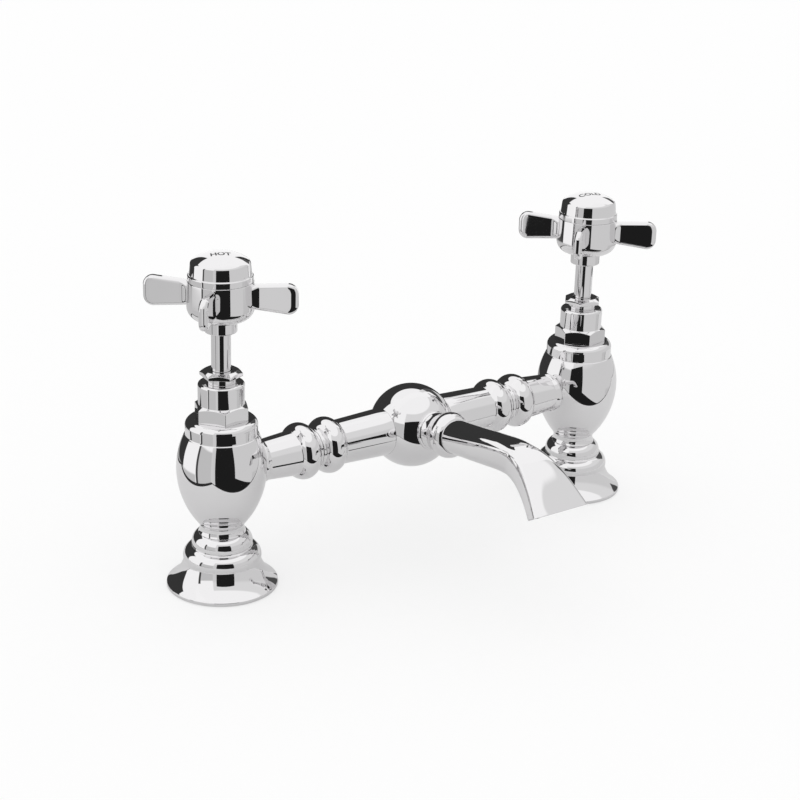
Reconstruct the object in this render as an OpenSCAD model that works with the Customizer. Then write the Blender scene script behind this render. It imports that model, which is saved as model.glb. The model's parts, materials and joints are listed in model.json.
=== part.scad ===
// Bridge basin mixer: two rising-spindle crosshead taps on turned pedestals, joined by a
// beaded bridge with a ball in the middle, which carries a fixed, flared spout.
// Z is up and X runs along the bridge, with the hot tap at -X and the spout towards -Y.
// The origin is on the deck, midway between the two tap holes.

/* [Layout] */
// Distance between the centres of the two tap holes
tap_centres = 200; // [180:1:240]
// Height of the bridge axis above the top of the foot
bridge_up = 28.3; // [26:0.1:32]
// Radial gap between a turning part and its bore
run_gap = 0.06; // [0.03:0.01:0.1]
// Radial gap between two fixed parts that slide or screw together
fit_gap = 0.1; // [0.05:0.01:0.15]
// Radial gap round a part that touches nothing in its bore
loose_gap = 0.3; // [0.2:0.05:0.4]
// Radius of the waterway through the bridge
water_r = 4.5; // [3.5:0.1:4.8]

/* [Foot] */
// Radius of the foot's rim
foot_r = 24.2; // [23:0.1:28]
// Height of the straight rim
foot_rim_h = 1.5; // [1:0.1:2.5]
// Height of the foot, from the deck to the body
foot_h = 24.8; // [23:0.1:30]
// Height of the bell, from the deck to the lower bead
bell_h = 11.6; // [10:0.1:13]
// Radius at the top of the bell
bell_top_r = 16.7; // [15:0.1:18]
// How far the bell's outline is hollowed
bell_hollow = 1.25; // [0.5:0.05:2]
// Height of the lower bead
low_bead_h = 6.6; // [5.5:0.1:7.5]
// How far the lower bead stands out
low_bead_out = 1.6; // [1:0.1:2]
// Radius at the foot of the upper bead
high_bead_r = 13; // [12:0.1:14]
// How far the upper bead stands out
high_bead_out = 1.2; // [0.8:0.1:1.5]
// Step in radius or height where one turned form meets the next
edge_step = 0.3; // [0.2:0.05:0.5]
// Radius at the top of the foot
foot_top_r = 10.3; // [10:0.05:10.8]
// Radius of the threaded inlet
inlet_r = 9.3; // [8:0.1:10]
// Depth of the threaded inlet
inlet_depth = 12; // [10:0.1:13]
// Thickness of the sealing washer under the foot
base_washer_t = 2; // [1:0.1:2.5]
// Outer radius of the sealing washer under the foot
base_washer_r = 20; // [16:0.1:21]
// Inner radius of the sealing washer under the foot
base_washer_bore = 11; // [10.3:0.1:13]

/* [Body] */
// Radius of the spigot that enters the foot
spigot_r = 8; // [7.5:0.1:8.5]
// Length of the spigot that enters the foot
spigot_len = 8; // [6:0.1:9]
// Radius of the body's inlet bore
inlet_bore_r = 5; // [4:0.1:5.2]
// Least radius of the neck above the foot
neck_r = 9.55; // [9.2:0.05:10]
// Radius of the hollow curve round the neck
neck_round = 3.8; // [3:0.1:5]
// Greatest radius of the bulb
bulb_r = 19.35; // [18.5:0.05:21]
// Height of the bulb's widest point above the bridge axis
bulb_up = 1.5; // [0:0.1:3]
// Radius of curvature of the bulb's lower outline
bulb_low_round = 39.5; // [34:0.5:46]
// Radius of curvature of the bulb's upper outline
bulb_high_round = 35; // [30:0.5:42]
// Height from the bulb's widest point to the collar
bulb_top = 15.2; // [13:0.1:17]
// Thickness of the bulb's wall
bulb_wall = 3; // [2:0.1:3.5]
// Radius of the collar
collar_r = 15.5; // [15:0.1:16.5]
// Height of the collar's straight band
collar_h = 4.6; // [3:0.1:6]
// Height of the collar's sloping top
collar_slope_h = 2.7; // [2:0.1:4]
// How far the collar's sloping top is rounded out
collar_slope_out = 0.6; // [0.3:0.1:1]
// Radius at the top of the collar
collar_top_r = 12.9; // [12.4:0.1:14]
// Height of the valve seat above the foot
seat_up = 16.7; // [15.5:0.1:18]
// Thickness of the ledge under the bonnet's washer
ledge_t = 2.5; // [2:0.1:3]
// Height of the seat above the chamber floor
seat_h = 3; // [2:0.1:4]
// Outer radius of the valve seat
seat_r = 7.2; // [6.6:0.1:8]

/* [Bonnet and gland] */
// Radius of the bonnet's thread in the body
bonnet_thread_r = 10.4; // [9.5:0.1:10.5]
// Depth of that thread below the body's top
bonnet_thread_len = 10.4; // [8:0.1:11]
// Radius of the bonnet's lower barrel, inside the body
bonnet_low_r = 8; // [7.2:0.1:8.4]
// Length of the bonnet's lower barrel
bonnet_low_len = 9; // [8.5:0.1:10]
// Thickness of the washer between bonnet and body
bonnet_washer_t = 0.8; // [0.5:0.1:1.5]
// Width of the bonnet's hexagon across its flats
bonnet_af = 21; // [20.9:0.1:23]
// Height of the bonnet's hexagon
bonnet_hex_h = 6.9; // [5:0.1:8]
// Slope of the cone that turns off the hexagons' corners
hex_slope = 30; // [20:1:40]
// Radius of the bonnet's barrel
barrel_r = 9.9; // [9:0.1:10.2]
// Height of the bonnet's barrel
barrel_h = 9.2; // [8:0.1:12]
// Rounding of the barrel's top edge
barrel_round = 1.3; // [0.2:0.1:2]
// Radius of the gland nut's thread in the barrel
gland_thread_r = 5.9; // [5.6:0.1:6.2]
// Length of the gland nut's thread
gland_thread_len = 4; // [3:0.1:4.4]
// Height of the gland packing
packing_h = 3.5; // [2:0.1:3.8]
// Radius of the gland nut's shoulder
gland_shoulder_r = 6.4; // [6.3:0.1:7.8]
// Height of the gland nut's shoulder
gland_shoulder_h = 2.8; // [1:0.1:4]
// Width of the gland nut's hexagon across its flats
gland_af = 16; // [15.7:0.1:17]
// Height of the gland nut's hexagon
gland_hex_h = 2.6; // [2.4:0.1:6]
// Radius of the flat on the gland nut's top
gland_top_r = 6.8; // [5.5:0.1:7.5]
// Turn of the hot and the cold bonnet's hexagon
bonnet_turn = [8, 12]; // [0:0.5:60]
// Turn of the hot and the cold gland nut's hexagon
gland_turn = [22.5, 47.6]; // [0:0.1:60]

/* [Valve] */
// Radius of the spindle's stem
stem_r = 4.14; // [3.8:0.02:4.4]
// Length of stem that shows between gland nut and handle when the tap is closed
stem_show = 16.7; // [12:0.1:22]
// Radius of the spindle's thread
spindle_thread_r = 5.2; // [4.8:0.1:5.6]
// Length of the spindle's thread
spindle_thread_len = 6; // [5:0.1:7]
// Lift of the spindle from closed to open
lift = 5; // [4:0.1:5.5]
// Radius of the spindle's nose, which presses on the jumper
nose_r = 4.6; // [4.3:0.1:4.9]
// Radius of the jumper's plate
jumper_r = 6.5; // [6:0.1:7]
// Thickness of the jumper's plate
jumper_t = 2; // [1.5:0.1:3]
// Radius of the jumper's pin, which turns in the spindle
jumper_pin_r = 2.4; // [2:0.1:2.6]
// Length of the jumper's pin
jumper_pin_len = 8; // [5:0.1:10]
// Radius of the jumper's stud, which holds the washer
stud_r = 1.5; // [1.2:0.1:1.8]
// Thickness of the tap washer
tap_washer_t = 3; // [2:0.1:3.5]
// Radius of the tap washer
tap_washer_r = 6.3; // [6:0.1:6.6]
// Width of the washer nut across its flats
washer_nut_af = 5.5; // [5:0.1:6.5]
// Height of the washer nut
washer_nut_h = 1.8; // [1.2:0.1:2.5]

/* [Handle] */
// Turn of the hot and the cold handle when closed
handle_turn = [46.6, 40.7]; // [0:0.1:90]
// Radius of the hub's neck
hub_neck_r = 6.8; // [6:0.1:8]
// Height of the hub's neck
hub_neck_h = 5.5; // [4:0.1:8]
// Radius of the hub
hub_r = 14.1; // [13.8:0.1:15.5]
// Height of the hub above its neck
hub_h = 16.6; // [15.5:0.1:18]
// Rounding under the hub
hub_round = 5.8; // [3:0.1:6.5]
// Share of its thickness that an arm keeps at the very tip
tip_thin = 0.45; // [0.3:0.05:0.7]
// Reach of an arm from the spindle's axis
arm_reach = 32.6; // [30:0.1:40]
// Height of an arm at the hub
arm_root_h = 9.9; // [8:0.1:10.5]
// Height of an arm near its tip
arm_tip_h = 13.1; // [11:0.1:14]
// Rounding of an arm's tip
arm_tip_round = 4.2; // [3:0.1:5]
// Length of the boss where an arm leaves the hub
arm_boss_len = 2.6; // [2:0.1:4]
// How square an arm's section is: 2 is an ellipse
arm_square = 4.5; // [3:0.1:6]
// How square the boss's section is
boss_square = 2.7; // [2:0.1:4]
// Thickness of an arm where it leaves the hub
arm_root_t = 6; // [5:0.1:7]
// Thickness of an arm's blade
arm_t = 3.9; // [3:0.1:4.8]
// Height of the arms' centre line above the hub's neck
arm_up = 10.6; // [10.4:0.1:11]
// Width across the flats of the spindle's square end
square_af = 5.6; // [4.6:0.1:5.8]
// Length of the spindle's square end
square_len = 9.5; // [7:0.1:10]
// Depth of the hub's round socket below the square
socket_depth = 3; // [2:0.1:4]
// Radius of the handle screw's shank
screw_r = 1.8; // [1.5:0.1:2]
// Length of the handle screw's shank
screw_len = 11; // [8:0.1:11.5]
// Radius of the handle screw's head
screw_head_r = 3.6; // [3:0.1:4.5]
// Height of the handle screw's head
screw_head_h = 2.2; // [1.5:0.1:2.5]

/* [Index cap] */
// Radius of the cap's flange
cap_flange_r = 13.6; // [13:0.1:13.8]
// Height of the cap's flange
cap_flange_h = 2.8; // [2:0.1:4]
// Radius of the cap's crown at its foot
cap_r = 12.9; // [12:0.1:12.9]
// Height of the cap's side above the flange
cap_side_h = 4.3; // [3:0.1:6]
// Lean of the cap's side inwards
cap_side_lean = 0.4; // [0.2:0.05:0.8]
// Width of the rounding between the cap's side and its top
cap_round_w = 1.2; // [0.8:0.1:2]
// Height of that rounding
cap_round_h = 1.8; // [1.2:0.1:2.5]
// Height of the cap's domed top above its rounding
cap_dome_h = 3.2; // [1.5:0.1:4]
// How far the cap's domed top bulges past a plain cone
cap_dome_out = 0.9; // [0.5:0.1:1.5]
// Radius of the cap's plug in the hub
cap_plug_r = 9; // [7:0.1:10]
// Depth of the cap's plug
cap_plug_h = 3; // [2:0.1:3.2]

/* [Bridge] */
// Distance of the joint between arm and tube from the middle
joint_x = 53.4; // [50:0.1:58]
// Distance of each bead's middle from the joint
bead_offset = 6.5; // [6:0.1:8]
// Half the width of a bead
bead_half = 5.1; // [4.5:0.1:5.2]
// Radius of the beads
bead_r = 12.7; // [12:0.1:14]
// Radius of the groove between the beads
groove_r = 8.8; // [8.5:0.1:9.5]
// Radius of the arm at the body
arm_body_r = 8.9; // [8.4:0.1:9.6]
// Radius of the arm at its bead
arm_bead_r = 10.05; // [9.6:0.05:11]
// Width of the rounded ring on the arm's end
end_ring_w = 2.6; // [1.5:0.1:4]
// How far that ring stands out
end_ring_out = 0.6; // [0.3:0.1:1]
// How far the arm's end sinks into the curve of the body
arm_saddle = 2.4; // [1.5:0.1:3]
// Radius of the tube at its bead
tube_bead_r = 10; // [9.6:0.1:11]
// Radius of the tube at the ball
tube_ball_r = 10.8; // [10:0.1:12]
// Radius of the arm's spigot in the tube
joint_spigot_r = 7; // [6.5:0.1:7.4]
// Length of the arm's spigot in the tube
joint_spigot_len = 8; // [6:0.1:10]
// Radius of the arm's spigot in the body
port_spigot_r = 7.2; // [6.6:0.1:7.6]
// How far from the tap's axis that spigot starts
port_start = 11.6; // [11:0.1:12]
// Distance of its O-ring from that start
port_seal_in = 2.9; // [2:0.1:3.5]
// Radius of the boss round the port inside the body
port_boss_r = 9.4; // [8.8:0.1:10]
// Radius of the ball
ball_r = 19.15; // [18:0.05:22]
// Thickness of the ball's wall
ball_wall = 3.4; // [2.5:0.1:4]
// Radius of the tube's spigot in the ball
ball_spigot_r = 7.6; // [7:0.1:8.5]
// How far a spigot reaches past the inside of the ball's wall
spigot_past = 2; // [1:0.1:3]

/* [Spout] */
// Upward tilt of the spout's neck where it leaves the ball
spout_tilt = 9.3; // [4:0.1:12]
// Radius of the collar between ball and spout
spout_collar_r = 9; // [8.6:0.1:10]
// Distance from the ball's centre to the collar's front
spout_collar_front = 18.9; // [18.6:0.1:20]
// Bevel of the collar's front edge
spout_collar_bevel = 0.6; // [0.3:0.1:1]
// Radius of the collar's spigot in the ball
nipple_back_r = 6.5; // [6:0.1:7]
// Radius of the collar's spigot in the spout
nipple_front_r = 6; // [5.6:0.1:6.2]
// Length of the collar's spigot in the spout
nipple_front_len = 7; // [5:0.1:8]
// Radius of the waterway through the collar
nipple_bore_r = 3.8; // [3:0.1:4]
// Radius of the spout's neck
spout_neck_r = 8.5; // [8.2:0.1:9]
// Length of the spout's neck
spout_neck_len = 6.4; // [5:0.1:8]
// Radius of the spout's shoulder
shoulder_r = 10.3; // [9.6:0.1:11]
// Length of the spout's shoulder
shoulder_len = 8.6; // [7:0.1:10]
// How far the spout's neck is hollowed
neck_hollow = 0.5; // [0.2:0.05:0.8]
// Upward tilt of the spout's blade behind its bend
blade_tilt = 7.4; // [4:0.1:12]
// Length of the spout's blade along its middle
spout_len = 78; // [65:1:95]
// Length along the blade where it starts to bend down
bend_start = 34; // [28:0.5:38]
// Length along the blade over which it bends
bend_len = 42.5; // [34:0.5:46]
// Angle that the blade turns down through
bend_angle = 50.8; // [40:0.2:62]
// Angle between the mouth's plane and a square cut
mouth_cut = 16.4; // [0:0.2:20]
// Half the width of the blade's waist
waist_half_w = 7.9; // [7.2:0.1:9]
// Half the width of the blade's mouth
mouth_half_w = 14.4; // [12:0.1:18]
// Length of the flare behind the mouth
flare_len = 30.4; // [24:0.2:40]
// Power by which the flare widens towards the mouth
flare_power = 1.13; // [1:0.01:1.4]
// Half the depth of the blade
blade_half_h = 6; // [5:0.1:6.6]
// Length over which the blade thins from its waist
thin_len = 57; // [45:0.5:65]
// Half the depth of the blade's mouth
mouth_half_h = 4.6; // [4.2:0.1:5.4]
// How square the blade's section is: 2 is an ellipse
blade_square = 4.6; // [3:0.1:6]
// Thickness of the spout's wall
spout_wall = 1.5; // [1.2:0.1:1.8]

/* [Seals] */
// Width of each O-ring's groove
seal_groove_w = 2; // [1.8:0.1:2.4]
// Depth of each O-ring's groove
seal_groove_d = 1.2; // [1:0.1:1.3]
// Gap all round an O-ring in its groove
seal_gap = 0.03; // [0.02:0.01:0.05]

/* [Hidden] */
$fn = 96;

// The two taps, by their place in the pairs of turns above
hot = 0;
cold = 1;

// Gap that keeps one face from sinking into another
face_gap = 0.05;
// Room left beyond the end of a part that must not touch bottom
end_room = 0.5;
// Distance that a cutting tool runs past the face it cuts
over = 1;

// Heights on the tap's axis, from the deck up
bridge_z = foot_h + bridge_up;
bulb_z = bridge_z + bulb_up;
bulb_top_z = bulb_z + bulb_top;
body_top_z = bulb_top_z + collar_h + collar_slope_h;
inlet_top_z = base_washer_t + inlet_depth;
seat_z = foot_h + seat_up;
chamber_floor_z = seat_z - seat_h;
ledge_z = body_top_z - bonnet_thread_len - bonnet_washer_t;
chamber_top_z = ledge_z - ledge_t;
bonnet_low_z = ledge_z + bonnet_washer_t - bonnet_low_len;
hex_top_z = body_top_z + bonnet_hex_h;
barrel_top_z = hex_top_z + barrel_h;
gland_thread_z = barrel_top_z - gland_thread_len;
packing_z = gland_thread_z - packing_h - face_gap;
gland_hex_z = barrel_top_z + gland_shoulder_h;
gland_top_z = gland_hex_z + gland_hex_h;
tap_washer_z = seat_z + face_gap;
jumper_z = tap_washer_z + tap_washer_t;
jumper_top_z = jumper_z + jumper_t;
nose_z = jumper_top_z + face_gap;
spindle_thread_z = bonnet_low_z + end_room;
thread_room = spindle_thread_len + lift + 2 * end_room;
handle_z = gland_top_z + stem_show;
socket_top_z = handle_z + socket_depth;
square_top_z = socket_top_z + square_len;
web_z = square_top_z + end_room;
hub_z = handle_z + hub_neck_h;
cap_z = hub_z + hub_h;
plug_z = cap_z - cap_plug_h;
web_top_z = plug_z - screw_head_h - end_room;

// Radii that follow from a mating part
foot_socket_r = spigot_r + fit_gap;
port_r = port_spigot_r + fit_gap;
joint_socket_r = joint_spigot_r + fit_gap;
ball_socket_r = ball_spigot_r + fit_gap;
nipple_socket_r = nipple_front_r + fit_gap;
bonnet_socket_r = bonnet_thread_r + fit_gap;
gland_socket_r = gland_thread_r + fit_gap;
stem_bore_r = stem_r + run_gap;
gland_bore_r = stem_r + loose_gap;
thread_bore_r = spindle_thread_r + run_gap;
bulb_low_centre = [bulb_r - bulb_low_round, bulb_z];
bulb_high_centre = [bulb_r - bulb_high_round, bulb_z];
port_seal_at = port_start + port_seal_in;
spout_root = spout_collar_front + face_gap;
shoulder_start = spout_root + spout_neck_len;
shoulder_end = shoulder_start + shoulder_len;

// How far an arm, its boss and the spout's blade start inside the turned form that carries them
arm_sunk = 4;
boss_sunk = 1;
blade_sunk = 3;

// Colours
chrome = [0.80, 0.81, 0.83];
brass = [0.80, 0.64, 0.32];
rubber = [0.16, 0.16, 0.17];
fibre = [0.55, 0.22, 0.16];

// Points on the arc about centre c with radius r, from angle a to angle b
function arc(c, r, a, b, n = 10) =
    [for (i = [0:n]) c + r * [cos(a + (b - a) * i / n), sin(a + (b - a) * i / n)]];

// Points on the arc from a to b whose middle stands out to the right by rise;
// a negative rise hollows the line to the left instead
function bow(a, b, rise, n = 10) =
    let (
        chord = b - a,
        len = norm(chord),
        right = [chord[1], -chord[0]] / len,
        r = (len * len / 4 + rise * rise) / (2 * abs(rise)),
        way = sign(rise),
        centre = (a + b) / 2 + right * (rise - way * r),
        from = atan2(a[1] - centre[1], a[0] - centre[0]),
        sweep = way * 2 * asin(min(1, len / (2 * r)))
    )
    arc(centre, r, from, from + sweep, n);

// Eases from 0 to 1 as t does, level at both ends
function ease(t) =
    let (u = max(0, min(1, t)))
    u * u * (3 - 2 * u);

// A solid of revolution about Z between two heights, from its outline's points
module turned(outline) {
    rotate_extrude()
        polygon(concat([[0, outline[0][1]]], outline, [[0, outline[len(outline) - 1][1]]]));
}

// A straight round bar or bore from z0 to z1
module bar(r, z0, z1) {
    translate([0, 0, z0])
        cylinder(r = r, h = z1 - z0);
}

// A flat ring from z0 to z1
module ring(r, bore, z0, z1) {
    difference() {
        bar(r, z0, z1);
        bar(bore, z0 - over, z1 + over);
    }
}

// A hexagonal bar from z0 to z1
module hex_bar(af, z0, z1) {
    translate([0, 0, z0])
        cylinder(r = af / 2 / cos(30), h = z1 - z0, $fn = 6);
}

// A hexagonal bar whose upper corners are turned off, by a cone that starts at radius top_r
module hex_head(af, z0, z1, top_r) {
    wide_r = af / 2 / cos(30) + over;
    intersection() {
        hex_bar(af, z0, z1);
        turned([[wide_r, z0], [wide_r, z1 - (wide_r - top_r) * tan(hex_slope)], [top_r, z1]]);
    }
}

// A closed skin over a row of rings that each have the same number of points
module loft(rings) {
    n = len(rings[0]);
    last = len(rings) - 1;
    points = [for (row = rings) each row];
    sides = [
        for (j = [0:last - 1], i = [0:n - 1])
            let (a = j * n + i, b = j * n + (i + 1) % n)
            each [[a, b, b + n], [a, b + n, a + n]]
    ];
    foot = [for (i = [1:n - 2]) [0, i + 1, i]];
    head = [for (i = [1:n - 2]) [last * n, last * n + i, last * n + i + 1]];
    polyhedron(points, concat(sides, foot, head));
}

// One point of a rounded section: half width w, half depth h, squareness q, angle a
function section_point(w, h, q, a) = [
    w * sign(cos(a)) * pow(abs(cos(a)), 2 / q),
    h * sign(sin(a)) * pow(abs(sin(a)), 2 / q)
];

// The groove that an O-ring lies in, cut round a spigot of radius r
module seal_groove(r, z) {
    ring(r + over, r - seal_groove_d, z - seal_groove_w / 2, z + seal_groove_w / 2);
}

// An O-ring between the groove in a spigot of radius r and the bore round it
module seal(r, z) {
    floor_r = r - seal_groove_d;
    wall_r = r + fit_gap;
    rotate_extrude()
        translate([(floor_r + wall_r) / 2, z])
            circle(r = (wall_r - floor_r) / 2 - seal_gap, $fn = 32);
}

// Places a tap: the cold one stands at +X and looks back along the bridge
module at_tap(side) {
    translate([(side - 0.5) * tap_centres, 0, 0])
        rotate([0, 0, side * 180])
            children();
}

// Lays a part that was drawn along Z on the bridge axis, outwards from the middle
module along_bridge(side) {
    translate([0, 0, bridge_z])
        rotate([0, side == hot ? -90 : 90, 0])
            children();
}

// A sphere at the middle of the bridge, with its seam turned away from the tubes and the spout
module ball(r) {
    translate([0, 0, bridge_z])
        rotate([0, 0, 45])
            sphere(r = r);
}

// Lays a part that was drawn along Z on the spout's root, outwards from the ball
module along_spout() {
    translate([0, 0, bridge_z])
        rotate([90 - spout_tilt, 0, 0])
            children();
}

// The body's outside, from the foot to the collar's top, grown by gap
module bulb_shape(gap = 0) {
    neck_x = neck_r + neck_round;
    reach = neck_round + bulb_low_round;
    dx = neck_x - bulb_low_centre[0];
    neck_z = bulb_z - sqrt(reach * reach - dx * dx);
    meet = atan2(neck_z - bulb_z, dx);
    start = 180 + asin(min(1, (neck_z - foot_h) / neck_round));
    top = asin(bulb_top / bulb_high_round);
    lip_r = min(collar_r, bulb_high_centre[0] + bulb_high_round * cos(top)) - edge_step;
    turned(concat(
        arc([neck_x, neck_z], neck_round - gap, start, 180 + meet, 10),
        arc(bulb_low_centre, bulb_low_round + gap, meet, 0, 14),
        arc(bulb_high_centre, bulb_high_round + gap, 1, top, 9),
        [[lip_r, bulb_top_z], [lip_r, bulb_top_z + edge_step]],
        [[collar_r, bulb_top_z + edge_step], [collar_r, bulb_top_z + collar_h]],
        bow([collar_r, bulb_top_z + collar_h], [collar_top_r, body_top_z], collar_slope_out, 6)
    ));
}

// The chamber inside the bulb, with its wall left outside
module bulb_chamber() {
    low_r = bulb_low_round - bulb_wall;
    high_r = bulb_high_round - bulb_wall;
    turned(concat(
        arc(bulb_low_centre, low_r, -asin((bulb_z - chamber_floor_z) / low_r), 0, 8),
        arc(bulb_high_centre, high_r, 1, asin((chamber_top_z - bulb_z) / high_r), 6)
    ));
}

// Foot: a turned bell with two beads, an inlet from below and a socket for the body above
module foot(side) {
    bead_z = bell_h + low_bead_h;
    color(chrome)
        at_tap(side)
            difference() {
                turned(concat(
                    [[foot_r, 0]],
                    bow([foot_r, foot_rim_h], [bell_top_r, bell_h], -bell_hollow, 12),
                    bow([bell_top_r, bell_h + edge_step], [high_bead_r + edge_step, bead_z], low_bead_out, 10),
                    bow([high_bead_r, bead_z + edge_step], [foot_top_r, foot_h], high_bead_out, 10)
                ));
                ring(base_washer_r + fit_gap, base_washer_bore - fit_gap, -over, base_washer_t);
                bar(inlet_r, -over, inlet_top_z);
                bar(inlet_bore_r, inlet_top_z - over, foot_h);
                bar(foot_socket_r, foot_h - spigot_len - face_gap, foot_h + over);
            }
}

// Base washer: seals the foot to the deck, in a recess under the rim
module base_washer(side) {
    color(rubber)
        at_tap(side)
            ring(base_washer_r, base_washer_bore, 0, base_washer_t);
}

// Foot seal: O-ring on the body's spigot
module foot_seal(side) {
    color(rubber)
        at_tap(side)
            seal(spigot_r, foot_h - spigot_len / 2);
}

// Body: the hollow bulb, with its spigot below, valve seat inside, side port and mouth
module body(side) {
    color(chrome)
        at_tap(side)
            difference() {
                union() {
                    difference() {
                        bulb_shape();
                        bulb_chamber();
                    }
                    bar(spigot_r, foot_h - spigot_len, foot_h + over);
                    bar(seat_r, chamber_floor_z - over, seat_z);
                    intersection() {
                        bulb_shape();
                        translate([0, 0, bridge_z])
                            rotate([0, 90, 0])
                                bar(port_boss_r, port_start, bulb_r);
                    }
                }
                bar(inlet_bore_r, foot_h - spigot_len - over, seat_z + over);
                seal_groove(spigot_r, foot_h - spigot_len / 2);
                bar(bonnet_low_r + fit_gap, chamber_top_z - over, ledge_z + over);
                bar(bonnet_socket_r, ledge_z, body_top_z + over);
                translate([0, 0, bridge_z])
                    rotate([0, 90, 0])
                        bar(port_r, port_start - over, bulb_r + over);
            }
}

// Bonnet washer: fibre ring on the ledge inside the body's mouth
module bonnet_washer(side) {
    color(fibre)
        at_tap(side)
            ring(bonnet_thread_r, bonnet_low_r + fit_gap, ledge_z, ledge_z + bonnet_washer_t);
}

// Bonnet: hexagon and barrel above, thread and spindle nut below
module bonnet(side) {
    color(chrome)
        at_tap(side)
            difference() {
                union() {
                    bar(bonnet_low_r, bonnet_low_z, body_top_z + over);
                    bar(bonnet_thread_r, ledge_z + bonnet_washer_t, body_top_z + over);
                    rotate([0, 0, bonnet_turn[side]])
                        hex_head(bonnet_af, body_top_z, hex_top_z, barrel_r - edge_step);
                    turned(concat(
                        [[barrel_r, body_top_z + over]],
                        arc([barrel_r - barrel_round, barrel_top_z - barrel_round], barrel_round, 0, 90, 6)
                    ));
                }
                bar(thread_bore_r, bonnet_low_z - over, bonnet_low_z + thread_room);
                bar(stem_bore_r, bonnet_low_z, barrel_top_z + over);
                bar(gland_socket_r, packing_z, barrel_top_z + over);
            }
}

// Gland packing: the ring that seals the stem
module gland_packing(side) {
    color(rubber)
        at_tap(side)
            ring(gland_thread_r, stem_bore_r, packing_z, packing_z + packing_h);
}

// Gland nut: presses the packing down, and has a shoulder under its hexagon
module gland_nut(side) {
    color(chrome)
        at_tap(side)
            difference() {
                union() {
                    bar(gland_thread_r, gland_thread_z, barrel_top_z + over);
                    bar(gland_shoulder_r, barrel_top_z, gland_hex_z + over);
                    rotate([0, 0, gland_turn[side]])
                        hex_head(gland_af, gland_hex_z, gland_top_z, gland_top_r);
                }
                bar(gland_bore_r, gland_thread_z - over, gland_top_z + over);
            }
}

// Spindle: nose, thread, stem and the square end that drives the handle
module spindle(side) {
    color(chrome)
        at_tap(side)
            difference() {
                union() {
                    bar(nose_r, nose_z, spindle_thread_z + over);
                    bar(spindle_thread_r, spindle_thread_z, spindle_thread_z + spindle_thread_len);
                    bar(stem_r, spindle_thread_z, socket_top_z);
                    rotate([0, 0, handle_turn[side]])
                        translate([-square_af / 2, -square_af / 2, socket_top_z - over])
                            cube([square_af, square_af, square_len + over]);
                }
                bar(jumper_pin_r + run_gap, nose_z - over, nose_z + jumper_pin_len + face_gap);
                bar(screw_r + face_gap, web_top_z - screw_len - end_room, square_top_z + over);
            }
}

// Jumper: the plate that the spindle presses down, with its pin above and stud below
module jumper(side) {
    color(brass)
        at_tap(side) {
            bar(jumper_r, jumper_z, jumper_top_z);
            bar(jumper_pin_r, jumper_z, jumper_top_z + jumper_pin_len);
            bar(stud_r, tap_washer_z - washer_nut_h, jumper_top_z);
        }
}

// Tap washer: the soft ring that closes on the seat
module tap_washer(side) {
    color(rubber)
        at_tap(side)
            ring(tap_washer_r, stud_r + fit_gap, tap_washer_z, jumper_z);
}

// Washer nut: holds the tap washer on the jumper's stud
module washer_nut(side) {
    color(brass)
        at_tap(side)
            difference() {
                hex_bar(washer_nut_af, tap_washer_z - washer_nut_h, tap_washer_z);
                bar(stud_r + fit_gap, tap_washer_z - washer_nut_h - over, tap_washer_z + over);
            }
}

// One arm of the handle: an oval root, a flat blade that deepens outwards, a rounded tip
module handle_arm() {
    rows = 15;
    points = 20;
    inner = hub_r - arm_sunk;
    boss_start = hub_r - boss_sunk;
    boss_end = hub_r + arm_boss_len;
    tip_start = arm_reach - arm_tip_round;
    loft([
        for (j = [0:rows - 1])
            let (
                // Rows crowd towards the tip, where the outline turns
                x = inner + (arm_reach - inner) * sin(90 * j / (rows - 1)),
                grow = max(0, min(1, (x - inner) / (tip_start - inner))),
                boss = 1 - ease((x - boss_start) / (boss_end - boss_start)),
                past = max(0, (x - tip_start) / arm_tip_round),
                close = sqrt(max(0, 1 - past * past)),
                full_h = arm_root_h + (arm_tip_h - arm_root_h) * grow,
                full_t = arm_t + (arm_root_t - arm_t) * boss,
                half_h = full_h / 2 - arm_tip_round * (1 - close),
                half_t = full_t / 2 * (tip_thin + (1 - tip_thin) * close),
                square = arm_square + (boss_square - arm_square) * boss
            )
            [for (i = [0:points - 1])
                let (p = section_point(half_t, half_h, square, -360 * i / points))
                [x, p[0], p[1]]]
    ]);
}

// Handle: a bowl-shaped hub on a neck, with four arms and a square socket
module handle(side) {
    color(chrome)
        at_tap(side)
            rotate([0, 0, handle_turn[side]])
                difference() {
                    union() {
                        turned(concat(
                            [[hub_neck_r - edge_step, handle_z], [hub_neck_r, handle_z + edge_step]],
                            [[hub_neck_r, hub_z]],
                            arc([hub_r - hub_round, hub_z + hub_round], hub_round, -90, 0, 8),
                            [[hub_r - edge_step, cap_z]]
                        ));
                        for (a = [0:90:270])
                            rotate([0, 0, a])
                                translate([0, 0, hub_z + arm_up])
                                    handle_arm();
                    }
                    bar(stem_r + fit_gap, handle_z - over, socket_top_z);
                    translate([-square_af / 2 - fit_gap, -square_af / 2 - fit_gap, socket_top_z - over])
                        cube([square_af + 2 * fit_gap, square_af + 2 * fit_gap, web_z - socket_top_z + over]);
                    bar(screw_r + fit_gap, web_z - over, cap_z);
                    bar(cap_plug_r + fit_gap, web_top_z, cap_z + over);
                }
}

// Handle screw: a round head with a driver slot, on a plain shank
module handle_screw(side) {
    slot_w = screw_head_r / 4;
    color(brass)
        at_tap(side)
            rotate([0, 0, handle_turn[side]])
                difference() {
                    union() {
                        bar(screw_r, web_top_z - screw_len, web_top_z + over);
                        bar(screw_head_r, web_top_z + face_gap, web_top_z + screw_head_h);
                    }
                    translate([-screw_head_r - over, -slot_w / 2, web_top_z + screw_head_h / 2])
                        cube([2 * screw_head_r + 2 * over, slot_w, screw_head_h]);
                }
}

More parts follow.
